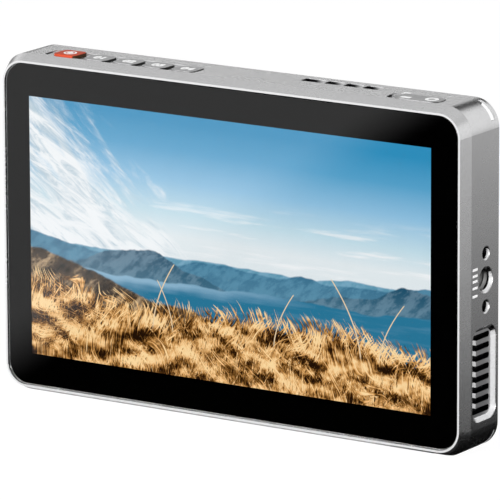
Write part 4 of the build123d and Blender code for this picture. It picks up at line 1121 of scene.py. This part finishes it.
def flatCorners(left, right, front, back, z):
    return [(left, front, z), (right, front, z), (left, back, z), (right, back, z)]


def uprightCorners(left, right, y, low, high):
    return [(left, y, low), (right, y, low), (left, y, high), (right, y, high)]


# black cards that only show in reflections, and the directions in which they thin out:
# each fade is a direction, then how far along it the card is gone and how far it is whole
cardLooks = {
    "rightCard": {
        "corners": flatCorners(0.062, 0.9, -0.013, 0.9, 0.4 * mm),
        "fades": [((-1.0, -0.35, 0), -0.93, 0.07)],
        "strength": 1.0,
    },
    # darkens, in reflections, the floor at the lower right corner: dark surroundings beside the
    # body, painted shadow under it
    "cornerCard": {
        "corners": flatCorners(0.04, 0.1, -0.0105, 0.055, 0.3 * mm),
        "fades": [((-1, 0, 0), -0.10, -0.08), ((0, -1, 0), -0.055, -0.03),
                  ((1, 0, 0), 0.04, 0.056)],
        "strength": 1.0,
    },
    "frontCard": {
        "corners": flatCorners(-0.9, 0.9, -0.9, -0.013, 0.5 * mm),
        "fades": [((0.974, -0.225, 0), -0.095, -0.062), ((-1, 0, 0), -0.30, -0.10)],
        "strength": 1.0,
    },
    # painted shadow: the next two cards darken, in reflections, the floor under the front of the
    # body
    "footShadowCard": {
        "corners": flatCorners(-0.07, 0.06, frontY + 1.7 * mm, frontY + 3.6 * mm, 0.03 * mm),
        "fades": [((0, 1, 0), frontY + 2.75 * mm, frontY + 3.2 * mm)],
        "strength": 1.0,
    },
    "underShadowCard": {
        "corners": flatCorners(-0.07, 0.06, frontY + 1.7 * mm, frontY + 3.6 * mm, 0.06 * mm),
        "fades": [],
        "strength": 0.34,
    },
    "backCard": {
        "corners": uprightCorners(-1.8, -0.2, 1, 0, 0.8),
        "fades": [((-1, 0, 0), 0.35, 0.55), ((0, 0, -1), -0.62, -0.42)],
        "strength": 0.80,
    },
    "ceilingCard": {
        "corners": flatCorners(-2.6, 2.6, -0.4, 1.8, 2),
        "fades": [((0, -1, 0), -1.8, -1.2)],
        "strength": 0.33,
    },
    "bandCard": {
        "corners": uprightCorners(-0.8, 0.1, 1, 0.1, 1.5),
        "fades": [((0.93, 0, 0.36), -0.27, -0.14), ((-0.93, 0, -0.36), -0.36, -0.20)],
        "strength": 1.0,
    },
}


def makeCard(name, look):
    bpy.ops.mesh.primitive_plane_add(size=1, location=(0, 0, 0))
    card = bpy.context.object
    card.name = name
    for vertex, corner in zip(card.data.vertices, look["corners"]):
        vertex.co = corner
    finish, tree, shader = newFinish(name)
    shader.inputs["Base Color"].default_value = (0, 0, 0, 1)
    shader.inputs["Roughness"].default_value = 0.9
    shader.inputs["Specular IOR Level"].default_value = 0.0
    solid = look["strength"]
    for direction, gone, whole in look["fades"]:
        reach = along(tree, objectPlace(tree), direction)
        solid = times(tree, solid, between(tree, reach, gone, whole))
    plug(tree, solid, shader.inputs["Alpha"])
    card.data.materials.append(finish)
    card.visible_camera = False
    card.visible_shadow = False
    card.visible_diffuse = False


def makeWorld():
    world = bpy.data.worlds.new("studio")
    bpy.context.scene.world = world
    world.use_nodes = True
    tree = world.node_tree
    back = tree.nodes["Background"]
    back.inputs["Color"].default_value = (1, 1, 1, 1)
    level = between(tree, seenMask(tree), 0.0, 1.0, worldFill, 1.0)
    plug(tree, level, back.inputs["Strength"])


# place, size and power in watts of each lamp; all of them look at the middle of the part
lampLooks = {
    "keyLamp": ((-0.45, -1.35, 0.75), (0.9, 0.7), 8.0),
    "lowLamp": ((-0.75, -1.3, 0.22), (0.6, 0.3), 4.0),
    "rimLamp": ((1.05, -1.05, 0.38), (0.6, 0.5), 15.5),
    "topLamp": ((-0.1, 0.1, 1.2), (1.5, 1.2), 0.5),
}
lampAim = Vector((0, 0, 0.05))


def makeLamp(name, place, size, power):
    bpy.ops.object.light_add(type="AREA", location=place)
    lamp = bpy.context.object
    lamp.name = name
    lamp.data.shape = "RECTANGLE"
    lamp.data.size, lamp.data.size_y = size
    lamp.data.energy = power
    lamp.rotation_euler = (lampAim - Vector(place)).to_track_quat("-Z", "Y").to_euler()
    lamp.visible_camera = False


viewLook = {
    "azimuth": 33.116,
    "elevation": 13.049,
    "roll": -0.243,
    "distance": 1.54403,
    "aim": (6.875 * mm, 2.0815 * mm),
    "lens": 437.846,
    "shift": (0.00165, -0.00218),
}


def makeCamera():
    look = viewLook
    azimuth = math.radians(look["azimuth"])
    elevation = math.radians(look["elevation"])
    turn = Matrix.Rotation(azimuth, 4, "Z") @ Matrix.Rotation(math.radians(90) - elevation, 4, "X")
    aim = Vector((look["aim"][0], frontY, middleZ + look["aim"][1]))
    away = turn @ Vector((0, 0, look["distance"]))
    bpy.ops.object.camera_add(location=aim + away)
    camera = bpy.context.object
    turn = turn @ Matrix.Rotation(math.radians(look["roll"]), 4, "Z")
    camera.rotation_euler = turn.to_euler()
    camera.data.lens = look["lens"]
    camera.data.sensor_width = 36
    camera.data.shift_x, camera.data.shift_y = look["shift"]
    camera.data.clip_start = 0.05
    bpy.context.scene.camera = camera


makeFloor()
for name, look in cardLooks.items():
    makeCard(name, look)
makeWorld()
for name, (place, size, power) in lampLooks.items():
    makeLamp(name, place, size, power)
makeCamera()
bpy.context.scene.view_settings.view_transform = "Standard"
print("stage ready")
